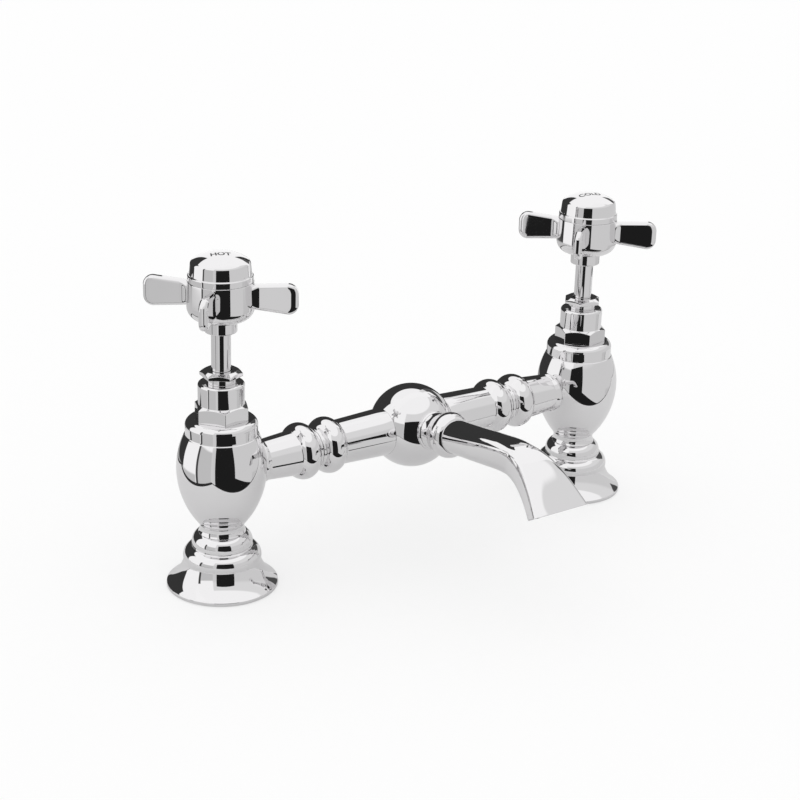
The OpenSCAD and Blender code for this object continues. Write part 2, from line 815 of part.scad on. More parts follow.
// Index cap: a flange and a domed crown over the hub, with a plug that screws in
module index_cap(side) {
    flange_top = cap_z + cap_flange_h;
    side_end = [cap_r - cap_side_lean, flange_top + cap_side_h];
    dome_start = side_end + [-cap_round_w, cap_round_h];
    color(chrome)
        at_tap(side) {
            turned(concat(
                [[cap_flange_r, cap_z], [cap_flange_r, flange_top - edge_step]],
                [[cap_flange_r - edge_step, flange_top]],
                [[cap_r, flange_top]],
                bow(side_end, dome_start, edge_step, 6),
                bow(dome_start, [0, dome_start[1] + cap_dome_h], cap_dome_out, 10)
            ));
            bar(cap_plug_r, plug_z, cap_z + over);
        }
}

// Bridge arm: from the body to the joint, with the outer bead and a spigot at each end
module bridge_arm(side) {
    bead_x = joint_x + bead_offset;
    tap_x = tap_centres / 2;
    ring_x = tap_x - bulb_r + arm_saddle;
    color(chrome)
        difference() {
            union() {
                difference() {
                    along_bridge(side)
                        turned(concat(
                            [[groove_r, joint_x], [groove_r, bead_x - bead_half]],
                            bow([groove_r, bead_x - bead_half], [arm_bead_r, bead_x + bead_half],
                                bead_r - (groove_r + arm_bead_r) / 2, 14),
                            [[arm_body_r, ring_x - end_ring_w]],
                            bow([arm_body_r, ring_x - end_ring_w], [arm_body_r, ring_x + end_ring_w / 2],
                                end_ring_out, 6)
                        ));
                    at_tap(side)
                        bulb_shape(fit_gap);
                }
                along_bridge(side) {
                    bar(joint_spigot_r, joint_x - joint_spigot_len, joint_x + over);
                    bar(port_spigot_r, tap_x - bulb_r - over, tap_x - port_start);
                }
            }
            along_bridge(side) {
                bar(water_r, joint_x - joint_spigot_len - over, tap_x);
                seal_groove(joint_spigot_r, joint_x - joint_spigot_len / 2);
                seal_groove(port_spigot_r, tap_x - port_seal_at);
            }
        }
}

// Port seal: O-ring between arm and body
module port_seal(side) {
    color(rubber)
        along_bridge(side)
            seal(port_spigot_r, tap_centres / 2 - port_seal_at);
}

// Joint seal: O-ring between arm and tube
module joint_seal(side) {
    color(rubber)
        along_bridge(side)
            seal(joint_spigot_r, joint_x - joint_spigot_len / 2);
}

// Bridge tube: from the ball to the joint, with the inner bead and a socket for the arm
module bridge_tube(side) {
    bead_x = joint_x - bead_offset;
    color(chrome)
        difference() {
            union() {
                difference() {
                    along_bridge(side)
                        turned(concat(
                            [[tube_ball_r, 0], [tube_ball_r, ball_r]],
                            bow([tube_bead_r, bead_x - bead_half], [groove_r, bead_x + bead_half],
                                bead_r - (groove_r + tube_bead_r) / 2, 14),
                            [[groove_r, joint_x - face_gap]]
                        ));
                    ball(ball_r + face_gap);
                }
                along_bridge(side)
                    bar(ball_spigot_r, ball_r - ball_wall - spigot_past, ball_r + over);
            }
            along_bridge(side) {
                bar(water_r, 0, joint_x);
                bar(joint_socket_r, joint_x - joint_spigot_len - face_gap, joint_x + over);
            }
        }
}

// Bridge ball: a hollow ball with a socket for each tube and one for the spout's collar
module bridge_ball() {
    color(chrome)
        difference() {
            along_bridge(cold)
                rotate([0, 0, 45])
                    rotate_extrude()
                        difference() {
                            circle(r = ball_r);
                            circle(r = ball_r - ball_wall);
                            translate([-2 * ball_r, -2 * ball_r])
                                square([2 * ball_r + ball_socket_r, 4 * ball_r]);
                        }
            along_spout()
                bar(nipple_back_r + fit_gap, ball_r / 2, ball_r + over);
        }
}

// Spout collar: a ring seated on the ball, with a spigot into the ball and one into the spout
module spout_collar() {
    color(chrome)
        difference() {
            union() {
                difference() {
                    along_spout()
                        turned([
                            [spout_collar_r, 0],
                            [spout_collar_r, spout_collar_front - spout_collar_bevel],
                            [spout_collar_r - spout_collar_bevel, spout_collar_front]
                        ]);
                    ball(ball_r + face_gap);
                }
                along_spout() {
                    bar(nipple_back_r, ball_r - ball_wall - spigot_past, spout_collar_front);
                    bar(nipple_front_r, ball_r - ball_wall, spout_collar_front + nipple_front_len);
                }
            }
            along_spout() {
                bar(nipple_bore_r, 0, spout_collar_front + nipple_front_len + over);
                seal_groove(nipple_front_r, spout_collar_front + nipple_front_len / 2);
            }
        }
}

// Spout seal: O-ring between collar and spout
module spout_seal() {
    color(rubber)
        along_spout()
            seal(nipple_front_r, spout_collar_front + nipple_front_len / 2);
}

// Direction of the blade's middle line at length s: its angle above the horizontal
function spout_angle(s) = blade_tilt - bend_angle * ease((s - bend_start) / bend_len);

// Points of the blade's middle line at each step of length, as distance out and height
function spout_line(steps, step, at = [0, 0], s = 0) =
    steps == 0 ? [at] :
    concat([at], spout_line(steps - 1, step,
        at + step * [cos(spout_angle(s + step / 2)), sin(spout_angle(s + step / 2))], s + step));

// Share of the flare that has been reached at length s: 0 at its start, 1 at the mouth
function flare_share(s) = max(0, (s - spout_len + flare_len) / flare_len);

// Half width and half depth of the blade at length s, less the wall
function spout_half_w(s, wall) =
    waist_half_w + (mouth_half_w - waist_half_w) * pow(flare_share(s), flare_power) - wall;
function spout_half_h(s, wall) =
    let (thin = max(0, 1 - s / thin_len))
    blade_half_h + (waist_half_w - blade_half_h) * thin * thin
        + (mouth_half_h - blade_half_h) * ease(flare_share(s)) - wall;

// Rings of the blade's skin, from inside the shoulder to the mouth or just past it
function spout_rings(wall, steps, points, past = 0) =
    let (
        step = (spout_len + past) / steps,
        line = spout_line(steps, step),
        start = shoulder_end - blade_sunk
    )
    [for (j = [0:steps])
        let (
            s = j * step,
            lean = spout_angle(s) - spout_tilt - mouth_cut * ease(flare_share(s)),
            square = 2 + (blade_square - 2) * ease(s / (spout_len - flare_len)),
            run = line[j][0] * cos(spout_tilt) + line[j][1] * sin(spout_tilt),
            rise = line[j][1] * cos(spout_tilt) - line[j][0] * sin(spout_tilt)
        )
        [for (i = [0:points - 1])
            let (p = section_point(spout_half_w(s, wall), spout_half_h(s, wall), square, -360 * i / points))
            [p[0], rise + p[1] * cos(lean), start + run - p[1] * sin(lean)]]];

// Spout: a turned neck and shoulder that flow into a blade, which bends down and flares
module spout() {
    peak = shoulder_r - (spout_neck_r + waist_half_w) / 2;
    color(chrome)
        along_spout()
            difference() {
                union() {
                    turned(concat(
                        bow([spout_neck_r, spout_root], [spout_neck_r, shoulder_start], -neck_hollow, 8),
                        bow([spout_neck_r, shoulder_start], [waist_half_w, shoulder_end], peak, 12)
                    ));
                    loft(spout_rings(0, 30, 32));
                }
                bar(nipple_socket_r, spout_root - over, spout_root + nipple_front_len + face_gap);
                bar(nipple_bore_r, spout_root, shoulder_end);
                loft(spout_rings(spout_wall, 24, 24, over));
            }
}

base_washer(hot);  // hot_base_washer
foot(hot);  // hot_foot
foot_seal(hot);  // hot_foot_seal
body(hot);  // hot_body
bonnet_washer(hot);  // hot_bonnet_washer
bonnet(hot);  // hot_bonnet
gland_packing(hot);  // hot_gland_packing
gland_nut(hot);  // hot_gland_nut
spindle(hot);  // hot_spindle
jumper(hot);  // hot_jumper
tap_washer(hot);  // hot_tap_washer
washer_nut(hot);  // hot_washer_nut
handle(hot);  // hot_handle
handle_screw(hot);  // hot_handle_screw
index_cap(hot);  // hot_index_cap
bridge_arm(hot);  // hot_bridge_arm
port_seal(hot);  // hot_port_seal
joint_seal(hot);  // hot_joint_seal
bridge_tube(hot);  // hot_bridge_tube
base_washer(cold);  // cold_base_washer
foot(cold);  // cold_foot
foot_seal(cold);  // cold_foot_seal
body(cold);  // cold_body
bonnet_washer(cold);  // cold_bonnet_washer
bonnet(cold);  // cold_bonnet
gland_packing(cold);  // cold_gland_packing
gland_nut(cold);  // cold_gland_nut
spindle(cold);  // cold_spindle
jumper(cold);  // cold_jumper
tap_washer(cold);  // cold_tap_washer
washer_nut(cold);  // cold_washer_nut
handle(cold);  // cold_handle
handle_screw(cold);  // cold_handle_screw
index_cap(cold);  // cold_index_cap
bridge_arm(cold);  // cold_bridge_arm
port_seal(cold);  // cold_port_seal
joint_seal(cold);  // cold_joint_seal
bridge_tube(cold);  // cold_bridge_tube
bridge_ball();
spout_collar();
spout_seal();
spout();
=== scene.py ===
import json
import math

import bmesh
import bpy
import numpy as np
from mathutils import Matrix, Vector


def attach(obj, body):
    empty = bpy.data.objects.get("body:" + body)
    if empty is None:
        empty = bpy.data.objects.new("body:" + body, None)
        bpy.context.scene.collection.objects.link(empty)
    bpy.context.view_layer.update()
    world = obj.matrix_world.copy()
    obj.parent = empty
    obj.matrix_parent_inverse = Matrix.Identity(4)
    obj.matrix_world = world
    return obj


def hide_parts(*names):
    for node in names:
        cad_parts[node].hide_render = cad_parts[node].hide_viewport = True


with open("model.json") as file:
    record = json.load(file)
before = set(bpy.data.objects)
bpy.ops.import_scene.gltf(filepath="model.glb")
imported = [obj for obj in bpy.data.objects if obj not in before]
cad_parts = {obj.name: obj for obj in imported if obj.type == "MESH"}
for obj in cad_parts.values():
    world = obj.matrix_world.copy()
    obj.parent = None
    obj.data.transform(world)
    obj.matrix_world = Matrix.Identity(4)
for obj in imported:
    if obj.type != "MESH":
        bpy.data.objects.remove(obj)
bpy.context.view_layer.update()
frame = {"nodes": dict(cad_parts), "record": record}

# Bridge basin mixer in polished chrome. Lengths are in millimetres until a mesh is made.
# X runs along the bridge, the spout points to -Y and Z is up. The deck is z = 0.
mm = 0.001
sides = ("hot", "cold")
layout = {
    "tapX": 100.0,        # each tap's axis from the middle
    "bridgeZ": 53.1,      # axis of the bridge above the deck
    "bulbZ": 54.6,        # widest point of the bulb
    "bodyTopZ": 77.1,     # mouth of the body, where the bonnet seats
    "barrelTopZ": 93.2,   # top of the bonnet, where the gland nut seats
    "handleZ": 115.3,     # underside of the hub's neck
    "capZ": 137.4,        # seat of the index cap
    "handleTurn": {"hot": 46.6, "cold": 40.7},    # the arms' angle from the bridge, in degrees
    "around": 180,        # columns round a turned piece
}


# Outlines: (radius, height) points, with the metal on their left hand

# fine points lie step apart, and the bell curve ends at 3 widths; kept points are shared out so
# that 5 degrees of turn get as many as 4 mm of run
spacing = {"step": 0.04, "turn": math.radians(5), "run": 4.0, "reach": 3}


def asinDeg(share):
    return math.degrees(math.asin(share))


def arcPoints(centre, radius, fromDeg, toDeg, count=24):
    # centre + radius * (cos, sin) of an angle that runs evenly
    a = np.radians(np.linspace(fromDeg, toDeg, count))
    return np.stack([centre[0] + radius * np.cos(a), centre[1] + radius * np.sin(a)], 1)


def bowPoints(a, b, rise, count=24):
    # the arc from a to b whose middle stands out to the right by rise, or in if it is negative
    a, b = np.array(a, float), np.array(b, float)
    chord = b - a
    length = np.hypot(*chord)
    right = np.array([chord[1], -chord[0]]) / length
    radius = (length * length / 4 + rise * rise) / (2 * abs(rise))
    way = math.copysign(1, rise)
    centre = (a + b) / 2 + right * (rise - way * radius)
    start = math.degrees(math.atan2(a[1] - centre[1], a[0] - centre[0]))
    sweep = way * 2 * asinDeg(min(1, length / (2 * radius)))
    return arcPoints(centre, radius, start, start + sweep, count)


def groovePoints(outerR, innerR, ends):
    # a square groove round a spigot, from its low end to its high end
    low, high = ends
    return [[outerR, low], [innerR, low], [innerR, high], [outerR, high]]


def softOutline(parts, soft, count, closed=True):
    # joins the parts, walks along them in equal small steps, averages each point with its
    # neighbours by a bell curve of width soft, and keeps count points, most where it turns
    line = np.concatenate([np.atleast_2d(np.array(p, float)) for p in parts])
    line = line[np.concatenate([[True], np.hypot(*np.diff(line, axis=0).T) > 1e-6])]
    if closed:
        line = np.concatenate([line, line[:1]])
    along = np.concatenate([[0], np.cumsum(np.hypot(*np.diff(line, axis=0).T))])
    step = spacing["step"]
    fine = np.linspace(0, along[-1], max(200, int(along[-1] / step)))
    if closed:
        fine = fine[:-1]
    pts = np.stack([np.interp(fine, along, line[:, k]) for k in (0, 1)], 1)
    half = max(1, int(spacing["reach"] * soft / step))
    kernel = np.exp(-0.5 * (np.arange(-half, half + 1) * step / soft) ** 2)
    kernel /= kernel.sum()
    if closed:
        wide = np.concatenate([pts[-half:], pts, pts[:half]])
    else:
        # an open outline ends on the axis, so it is mirrored there to stay level
        front, back = 2 * pts[0] - pts[half:0:-1], 2 * pts[-1] - pts[-2:-half - 2:-1]
        front[:, 1], back[:, 1] = pts[half:0:-1, 1], pts[-2:-half - 2:-1, 1]
        wide = np.concatenate([front, pts, back])
    pts = np.stack([np.convolve(wide[:, k], kernel, "valid") for k in (0, 1)], 1)
    ahead = np.roll(pts, -1, 0) - pts if closed else np.diff(pts, axis=0, append=pts[-1:])
    heading = np.unwrap(np.arctan2(ahead[:, 1], ahead[:, 0]))
    if not closed:
        heading[-1] = heading[-2]
    turn = np.abs(np.diff(heading, append=heading[-1:]))
    measure = np.cumsum(turn / spacing["turn"] + np.hypot(*ahead.T) / spacing["run"] + 1e-6)
    measure -= measure[0]
    wanted = np.linspace(0, measure[-1], count, endpoint=not closed)
    return np.stack([np.interp(wanted, measure, pts[:, k]) for k in (0, 1)], 1)


# Surfaces: a grid of points, one row for each outline point

def turnedGrid(outline, around=layout["around"]):
    # radius * (cos, sin) of the angle round the axis, at the outline's height
    a = np.linspace(0, 2 * math.pi, around, endpoint=False)
    r, z = outline[:, :1], outline[:, 1:]
    return np.stack([r * np.cos(a), r * np.sin(a), z + 0 * a], -1)


def gridFaces(rows, cols, closeRows):
    # quads between neighbours, seen anticlockwise from outside; the last column joins the first,
    # and where closeRows says so the last row does too
    i, j = np.meshgrid(np.arange(rows - (not closeRows)), np.arange(cols), indexing="ij")
    i2, j2 = (i + 1) % rows, (j + 1) % cols
    return np.stack([i * cols + j, i * cols + j2, i2 * cols + j2, i2 * cols + j], -1).reshape(-1, 4)


def flatEnd(row):
    # a row that lies all at the given row's middle, so it closes an end with a flat cap
    return np.repeat(row.mean(axis=0, keepdims=True), len(row), 0)[None]


def turnedAbout(points, degrees):
    # x cos - y sin and x sin + y cos: turned anticlockwise round the upright axis
    a = math.radians(degrees)
    x, y, z = points[..., 0], points[..., 1], points[..., 2]
    return np.stack([x * math.cos(a) - y * math.sin(a), x * math.sin(a) + y * math.cos(a), z], -1)


def atTap(side, points):
    # moved out to the tap's axis; the cold tap is the hot one turned half round the middle
    way = -1 if side == "cold" else 1
    out = points * np.array([way, way, 1.0])
    out[..., 0] -= way * layout["tapX"]
    return out


def alongBridge(side, points):
    # a piece drawn along Z, laid on the bridge's axis, outwards from the middle
    x, y, z = points[..., 0], points[..., 1], points[..., 2]
    way = 1 if side == "cold" else -1
    return np.stack([way * z, y, layout["bridgeZ"] - way * x], -1)


def smoothNormals(mesh):
    # each vertex takes the sum of its faces' normals times their areas, so a wide flat stays
    # flat beside a narrow rounded edge
    count = len(mesh.polygons)
    normal, area = np.empty(count * 3), np.empty(count)
    total, corner = np.empty(count, np.int32), np.empty(len(mesh.loops), np.int32)
    mesh.polygons.foreach_get("normal", normal)
    mesh.polygons.foreach_get("area", area)
    mesh.polygons.foreach_get("loop_total", total)
    mesh.loops.foreach_get("vertex_index", corner)
    weighted = np.repeat(normal.reshape(-1, 3) * area[:, None], total, 0)
    out = np.zeros((len(mesh.vertices), 3))
    np.add.at(out, corner, weighted)
    out /= np.maximum(np.linalg.norm(out, axis=1, keepdims=True), 1e-20)
    mesh.shade_smooth()
    mesh.normals_split_custom_set_from_vertices(out.tolist())


def makeMesh(name, shells):
    # shells: a grid of points each, and whether its last row joins the first
    points, faces, start = [], [], 0
    for grid, closeRows in shells:
        rows, cols = grid.shape[:2]
        faces.append(gridFaces(rows, cols, closeRows) + start)
        points.append(grid.reshape(-1, 3) * mm)
        start += rows * cols
    points, faces = np.concatenate(points), np.concatenate(faces)
    mesh = bpy.data.meshes.new(name)
    mesh.from_pydata(points.tolist(), [], faces.tolist())
    # rows that lie on an axis fall together in one point
    work = bmesh.new()
    work.from_mesh(mesh)
    bmesh.ops.remove_doubles(work, verts=work.verts, dist=1e-8)
    bmesh.ops.dissolve_degenerate(work, edges=work.edges, dist=1e-9)
    work.to_mesh(mesh)
    work.free()
    smoothNormals(mesh)
    return mesh


def newObject(name, data):
    thing = bpy.data.objects.new(name, data)
    bpy.context.scene.collection.objects.link(thing)
    return thing


def addMesh(name, mesh, finish, body, node):
    # one object that moves with a body and stands for a node
    mesh.materials.append(finishes[finish])
    piece = newObject(name, mesh)
    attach(piece, body)
    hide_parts(node)


def addPiece(name, body, node, *shells):
    addMesh(name, makeMesh(name, shells), "chrome", body, node)


# Finishes

def linearColour(hexText):
    # sRGB hex to linear red, green, blue: the standard curve, straight near black
    c = np.array([int(hexText[k:k + 2], 16) / 255 for k in (1, 3, 5)])
    return tuple(np.where(c <= 0.04045, c / 12.92, ((c + 0.055) / 1.055) ** 2.4).tolist()) + (1.0,)


def addNode(tree, kind, settings={}, links={}):
    # one node, with its settings or socket values, and links from other nodes' sockets
    node = tree.nodes.new(kind)
    for key, value in settings.items():
        if isinstance(key, str) and hasattr(node, key):
            setattr(node, key, value)
        else:
            node.inputs[key].default_value = value
    for key, source in links.items():
        tree.links.new(source, node.inputs[key])
    return node


def newMaterial(name):
    # a material and its node tree, which starts empty
    material = bpy.data.materials.new(name)
    material.use_nodes = True
    material.node_tree.nodes.clear()
    return material, material.node_tree


def onPiece(tree):
    # a point's place on its own piece, in metres
    return addNode(tree, "ShaderNodeTexCoord").outputs["Object"]


def patches(tree, sizeMm, detail):
    # soft noise from 0 to 1, with patches of about this size
    return addNode(tree, "ShaderNodeTexNoise", {"Scale": 1 / (sizeMm * mm), "Detail": detail},
                   {"Vector": onPiece(tree)}).outputs["Fac"]


def twoTones(tree, first, second, share):
    # a mix of two colours; 6 and 7 are the node's colour sockets and 2 is its mixed colour
    first, second = linearColour(first), linearColour(second)
    return addNode(tree, "ShaderNodeMix", {"data_type": "RGBA", 6: first, 7: second}, {0: share}).outputs[2]


def bumped(tree, height, strength, depthMm):
    # a bump by a socket's value, this deep where it is 1
    return addNode(tree, "ShaderNodeBump", {"Strength": strength, "Distance": depthMm * mm},
                   {"Height": height}).outputs["Normal"]


def rescaled(tree, value, ranges):
    # a socket's value moved from one range to another
    return addNode(tree, "ShaderNodeMapRange", ranges, {"Value": value}).outputs["Result"]


def surfaceOf(tree, settings, links):
    # the one shader of a piece's material
    shader = addNode(tree, "ShaderNodeBsdfPrincipled", settings, links)
    addNode(tree, "ShaderNodeOutputMaterial", {}, {"Surface": shader.outputs["BSDF"]})


def chromePlate():
    # Bright chromium plate on polished brass: a hard, cold mirror. The buffing wheel leaves a
    # very slight unevenness, so reflections are crisp but their edges wander a little.
    look = {"colour": "#eae9ea", "roughest": 0.045, "smoothest": 0.015, "hazeMm": 9.0, "wanderMm": 14.0,
            "wander": 0.12, "wanderDepth": 0.4}
    material, tree = newMaterial("chromePlate")
    rough = rescaled(tree, patches(tree, look["hazeMm"], 3.0), {
        "From Min": 0.35, "From Max": 0.75, "To Min": look["smoothest"], "To Max": look["roughest"]})
    bump = bumped(tree, patches(tree, look["wanderMm"], 1.0), look["wander"], look["wanderDepth"])
    surfaceOf(tree, {"Base Color": linearColour(look["colour"]), "Metallic": 1.0},
              {"Roughness": rough, "Normal": bump})
    return material


def turnedBrass():
    # Bare free-cutting brass, turned on a lathe: warm, with fine rings from the tool.
    look = {"colour": "#d9b56a", "dull": "#b98f45", "tarnishMm": 10 / 3, "roughness": 0.28,
            "ringMm": 0.25,    # the rings' pitch is 2 pi times this
            "ringDepth": 0.03, "waveUnit": 20}
    material, tree = newMaterial("turnedBrass")
    rings = addNode(tree, "ShaderNodeTexWave",
                    {"wave_type": "BANDS", "bands_direction": "Z", "Distortion": 0.6,
                     "Scale": 1 / (look["ringMm"] * mm) / look["waveUnit"]},
                    {"Vector": onPiece(tree)}).outputs["Fac"]
    tone = twoTones(tree, look["colour"], look["dull"], patches(tree, look["tarnishMm"], 4.0))
    surfaceOf(tree, {"Metallic": 1.0, "Roughness": look["roughness"]},
              {"Base Color": tone, "Normal": bumped(tree, rings, 0.3, look["ringDepth"])})
    return material


def mottled(name, look):
    # two tones and a slight bump by the same patches, under a plain dull surface
    material, tree = newMaterial(name)
    noise = patches(tree, look["patchMm"], look["detail"])
    surfaceOf(tree, {"Roughness": look["roughness"], "IOR": look["ior"]},
              {"Base Color": twoTones(tree, look["colour"], look["other"], noise),
               "Normal": bumped(tree, noise, look["bump"], look["bumpDepth"])})
    return material


def nitrileRubber():
    # Moulded nitrile rubber: near black, matt, with a faint grey bloom.
    return mottled("nitrileRubber", {"colour": "#1d1d1f", "other": "#343436", "patchMm": 2.0, "detail": 5.0,
                                     "bump": 0.2, "bumpDepth": 0.05, "roughness": 0.62, "ior": 1.52})


def redFibre():
    # Vulcanised fibre, stamped from sheet: dull brick red with a paper grain.
    return mottled("redFibre", {"colour": "#8e3b2c", "other": "#6d2a20", "patchMm": 0.6, "detail": 6.0,
                                "bump": 0.4, "bumpDepth": 0.05, "roughness": 0.7, "ior": 1.5})


def blackEnamel():
    # Vitreous enamel, wiped into the cut letters and polished back: black and glassy, with
    # a few fine pits.
    look = {"colour": "#16161a", "pitMm": 0.12, "smoothest": 0.3, "roughest": 0.5, "pitDepth": 0.01,
            "ior": 1.52, "glint": 0.2}
    material, tree = newMaterial("blackEnamel")
    pits = patches(tree, look["pitMm"], 2.0)
    rough = rescaled(tree, pits, {"To Min": look["smoothest"], "To Max": look["roughest"]})
    surfaceOf(tree, {"Base Color": linearColour(look["colour"]), "IOR": look["ior"],
                     "Specular IOR Level": look["glint"]},
              {"Roughness": rough, "Normal": bumped(tree, pits, 0.1, look["pitDepth"])})
    return material


finishes = {"chrome": chromePlate(), "brass": turnedBrass(), "rubber": nitrileRubber(), "fibre": redFibre(),
            "enamel": blackEnamel()}
slotOf = {s["node"]: s["material_slot"] for s in frame["record"]["subparts"]}
for name, solid in frame["nodes"].items():
    solid.data.materials.clear()
    solid.data.materials.append(finishes[slotOf[name]])
print("finishes made:", ", ".join(finishes))


# Feet: a bell and two beads, turned from one bar

foot = {
    "rimR": 24.2, "rimH": 1.5, "bellH": 11.6, "bellTopR": 16.7, "bellHollow": 1.25,
    "lowBeadTopZ": 18.2, "lowBeadOut": 1.6, "highBeadR": 13.0, "highBeadOut": 1.2,
    "topR": 10.3, "topZ": 24.8, "edge": 0.3, "soft": 0.2,
    # inside: socket for the body, waterway, threaded inlet in its boss, groove for the washer
    "socketR": 8.1, "socketZ": 16.75, "waterR": 5.0, "inletR": 9.3, "inletH": 14.0,
    "bossR": 10.9, "grooveR": 20.1, "grooveH": 2.0,
}


def footOutline():
    f = foot
    return softOutline([
        [[f["rimR"], 0], [f["rimR"], f["rimH"]]],
        bowPoints([f["rimR"], f["rimH"]], [f["bellTopR"], f["bellH"]], -f["bellHollow"]),
        bowPoints([f["bellTopR"], f["bellH"] + f["edge"]],
                  [f["highBeadR"] + f["edge"], f["lowBeadTopZ"]], f["lowBeadOut"]),
        bowPoints([f["highBeadR"], f["lowBeadTopZ"] + f["edge"]], [f["topR"], f["topZ"]], f["highBeadOut"]),
        [[f["socketR"], f["topZ"]], [f["socketR"], f["socketZ"]], [f["waterR"], f["socketZ"]],
         [f["waterR"], f["inletH"]], [f["inletR"], f["inletH"]], [f["inletR"], 0], [f["bossR"], 0],
         [f["bossR"], f["grooveH"]], [f["grooveR"], f["grooveH"]], [f["grooveR"], 0]],
    ], f["soft"], count=210)


for side in sides:
    addPiece(side + "Foot", "mixer", side + "_foot", (atTap(side, turnedGrid(footOutline())), True))
print("feet turned")


# Bodies: a hollow bulb on a neck, with a collar round its mouth

bulb = {
    "neckR": 9.55, "neckRound": 3.8, "bulbR": 19.35, "lowRound": 39.5, "highRound": 35.0,
    "topUp": 15.2, "wall": 3.0, "collarR": 15.5, "collarH": 4.6, "collarTopR": 12.9,
    "collarOut": 0.6, "edge": 0.3, "soft": 0.15,
    # inside: mouth, ledge, chamber, valve seat and waterway; below: the spigot and its groove
    "mouthR": 10.5, "ledgeR": 8.1, "ledgeZ": 65.9, "chamberTopZ": 63.4, "chamberZ": 38.5,
    "seatR": 7.2, "seatZ": 41.5, "waterR": 5.0, "spigotR": 8.0, "spigotZ": 16.8,
    "grooveR": 6.8, "groove": (19.8, 21.8),
}


def bulbOuter(gap=0.0):
    # hollow neck, lower and upper arcs that meet level at the widest point, then the collar;
    # gap moves neck and arcs outwards
    b, mid = bulb, layout["bulbZ"]
    lowCentre = (b["bulbR"] - b["lowRound"], mid)
    highCentre = (b["bulbR"] - b["highRound"], mid)
    neckX = b["neckR"] + b["neckRound"]
    reach = b["neckRound"] + b["lowRound"]
    dx = neckX - lowCentre[0]
    neckZ = mid - math.sqrt(reach * reach - dx * dx)
    meet = math.degrees(math.atan2(neckZ - mid, dx))
    start = 180 + asinDeg((neckZ - foot["topZ"]) / b["neckRound"])
    top = asinDeg(b["topUp"] / b["highRound"])
    topZ = mid + b["topUp"]
    lipR = highCentre[0] + b["highRound"] * math.cos(math.radians(top)) - b["edge"]
    return [
        arcPoints((neckX, neckZ), b["neckRound"] - gap, start, 180 + meet),
        arcPoints(lowCentre, b["lowRound"] + gap, meet, 0, 40)[1:],
        arcPoints(highCentre, b["highRound"] + gap, 1, top, 30),
        [[lipR, topZ], [lipR, topZ + b["edge"]], [b["collarR"], topZ + b["edge"]],
         [b["collarR"], topZ + b["collarH"]]],
        bowPoints([b["collarR"], topZ + b["collarH"]], [b["collarTopR"], layout["bodyTopZ"]], b["collarOut"]),
    ]


def bodyOutline():
    b, mid = bulb, layout["bulbZ"]
    lowInner, highInner = b["lowRound"] - b["wall"], b["highRound"] - b["wall"]
    top = asinDeg((b["chamberTopZ"] - mid) / highInner)
    bottom = asinDeg((mid - b["chamberZ"]) / lowInner)
    return softOutline(bulbOuter() + [
        [[b["mouthR"], layout["bodyTopZ"]], [b["mouthR"], b["ledgeZ"]], [b["ledgeR"], b["ledgeZ"]],
         [b["ledgeR"], b["chamberTopZ"]]],
        arcPoints((b["bulbR"] - b["highRound"], mid), highInner, top, 1, 12),
        arcPoints((b["bulbR"] - b["lowRound"], mid), lowInner, 0, -bottom, 16),
        [[b["seatR"], b["chamberZ"]], [b["seatR"], b["seatZ"]], [b["waterR"], b["seatZ"]],
         [b["waterR"], b["spigotZ"]], [b["spigotR"], b["spigotZ"]]],
        groovePoints(b["spigotR"], b["grooveR"], b["groove"]),
        [[b["spigotR"], foot["topZ"]]],
    ], b["soft"], count=330)


for side in sides:
    addPiece(side + "Body", "mixer", side + "_body", (atTap(side, turnedGrid(bodyOutline())), True))
print("bodies turned")


# Hexagons: bonnets and gland nuts

def hexColumns(flats, corner, perFlat=26, perCorner=5):
    # radius and angle round a hexagon with rounded corners: one flat and the short arc after
    # it, turned six times, with a corner at angle 0
    apothem = flats / 2
    halfFlat = (apothem - corner) * math.tan(math.radians(30))
    y = np.linspace(-halfFlat, halfFlat, perFlat)
    a = np.radians(np.linspace(0, 60, perCorner + 2)[1:-1])
    one = np.concatenate([
        np.stack([np.full(perFlat, apothem), y, 0 * y], 1),
        np.stack([apothem - corner + corner * np.cos(a), halfFlat + corner * np.sin(a), 0 * a], 1)])
    x, y, _ = np.concatenate([turnedAbout(one, 60 * k + 30) for k in range(6)]).T
    return np.hypot(x, y), np.arctan2(y, x)


def edgedGrid(corners, cut, angle, steps=4):
    # rows through corners, each a radius and a height, as one number or one for each angle; where
    # cut is above 0, the corner is rounded by a parabola that starts and ends that far from it
    corners = [np.stack([radius + 0 * angle, height + 0 * angle], -1) for radius, height in corners]
    rows = []
    for k, here in enumerate(corners):
        if cut[k] <= 0:
            rows.append(here)
            continue
        toBefore, toAfter = corners[k - 1] - here, corners[(k + 1) % len(corners)] - here
        before = np.linalg.norm(toBefore, axis=-1, keepdims=True)
        after = np.linalg.norm(toAfter, axis=-1, keepdims=True)
        size = np.minimum(cut[k], 0.45 * np.minimum(after, before))
        start = here + toBefore / np.maximum(before, 1e-9) * size
        end = here + toAfter / np.maximum(after, 1e-9) * size
        for t in np.linspace(0, 1, steps):
            rows.append((1 - t) ** 2 * start + 2 * t * (1 - t) * here + t * t * end)
    rows = np.stack(rows)
    return np.stack([rows[..., 0] * np.cos(angle), rows[..., 0] * np.sin(angle), rows[..., 1]], -1)


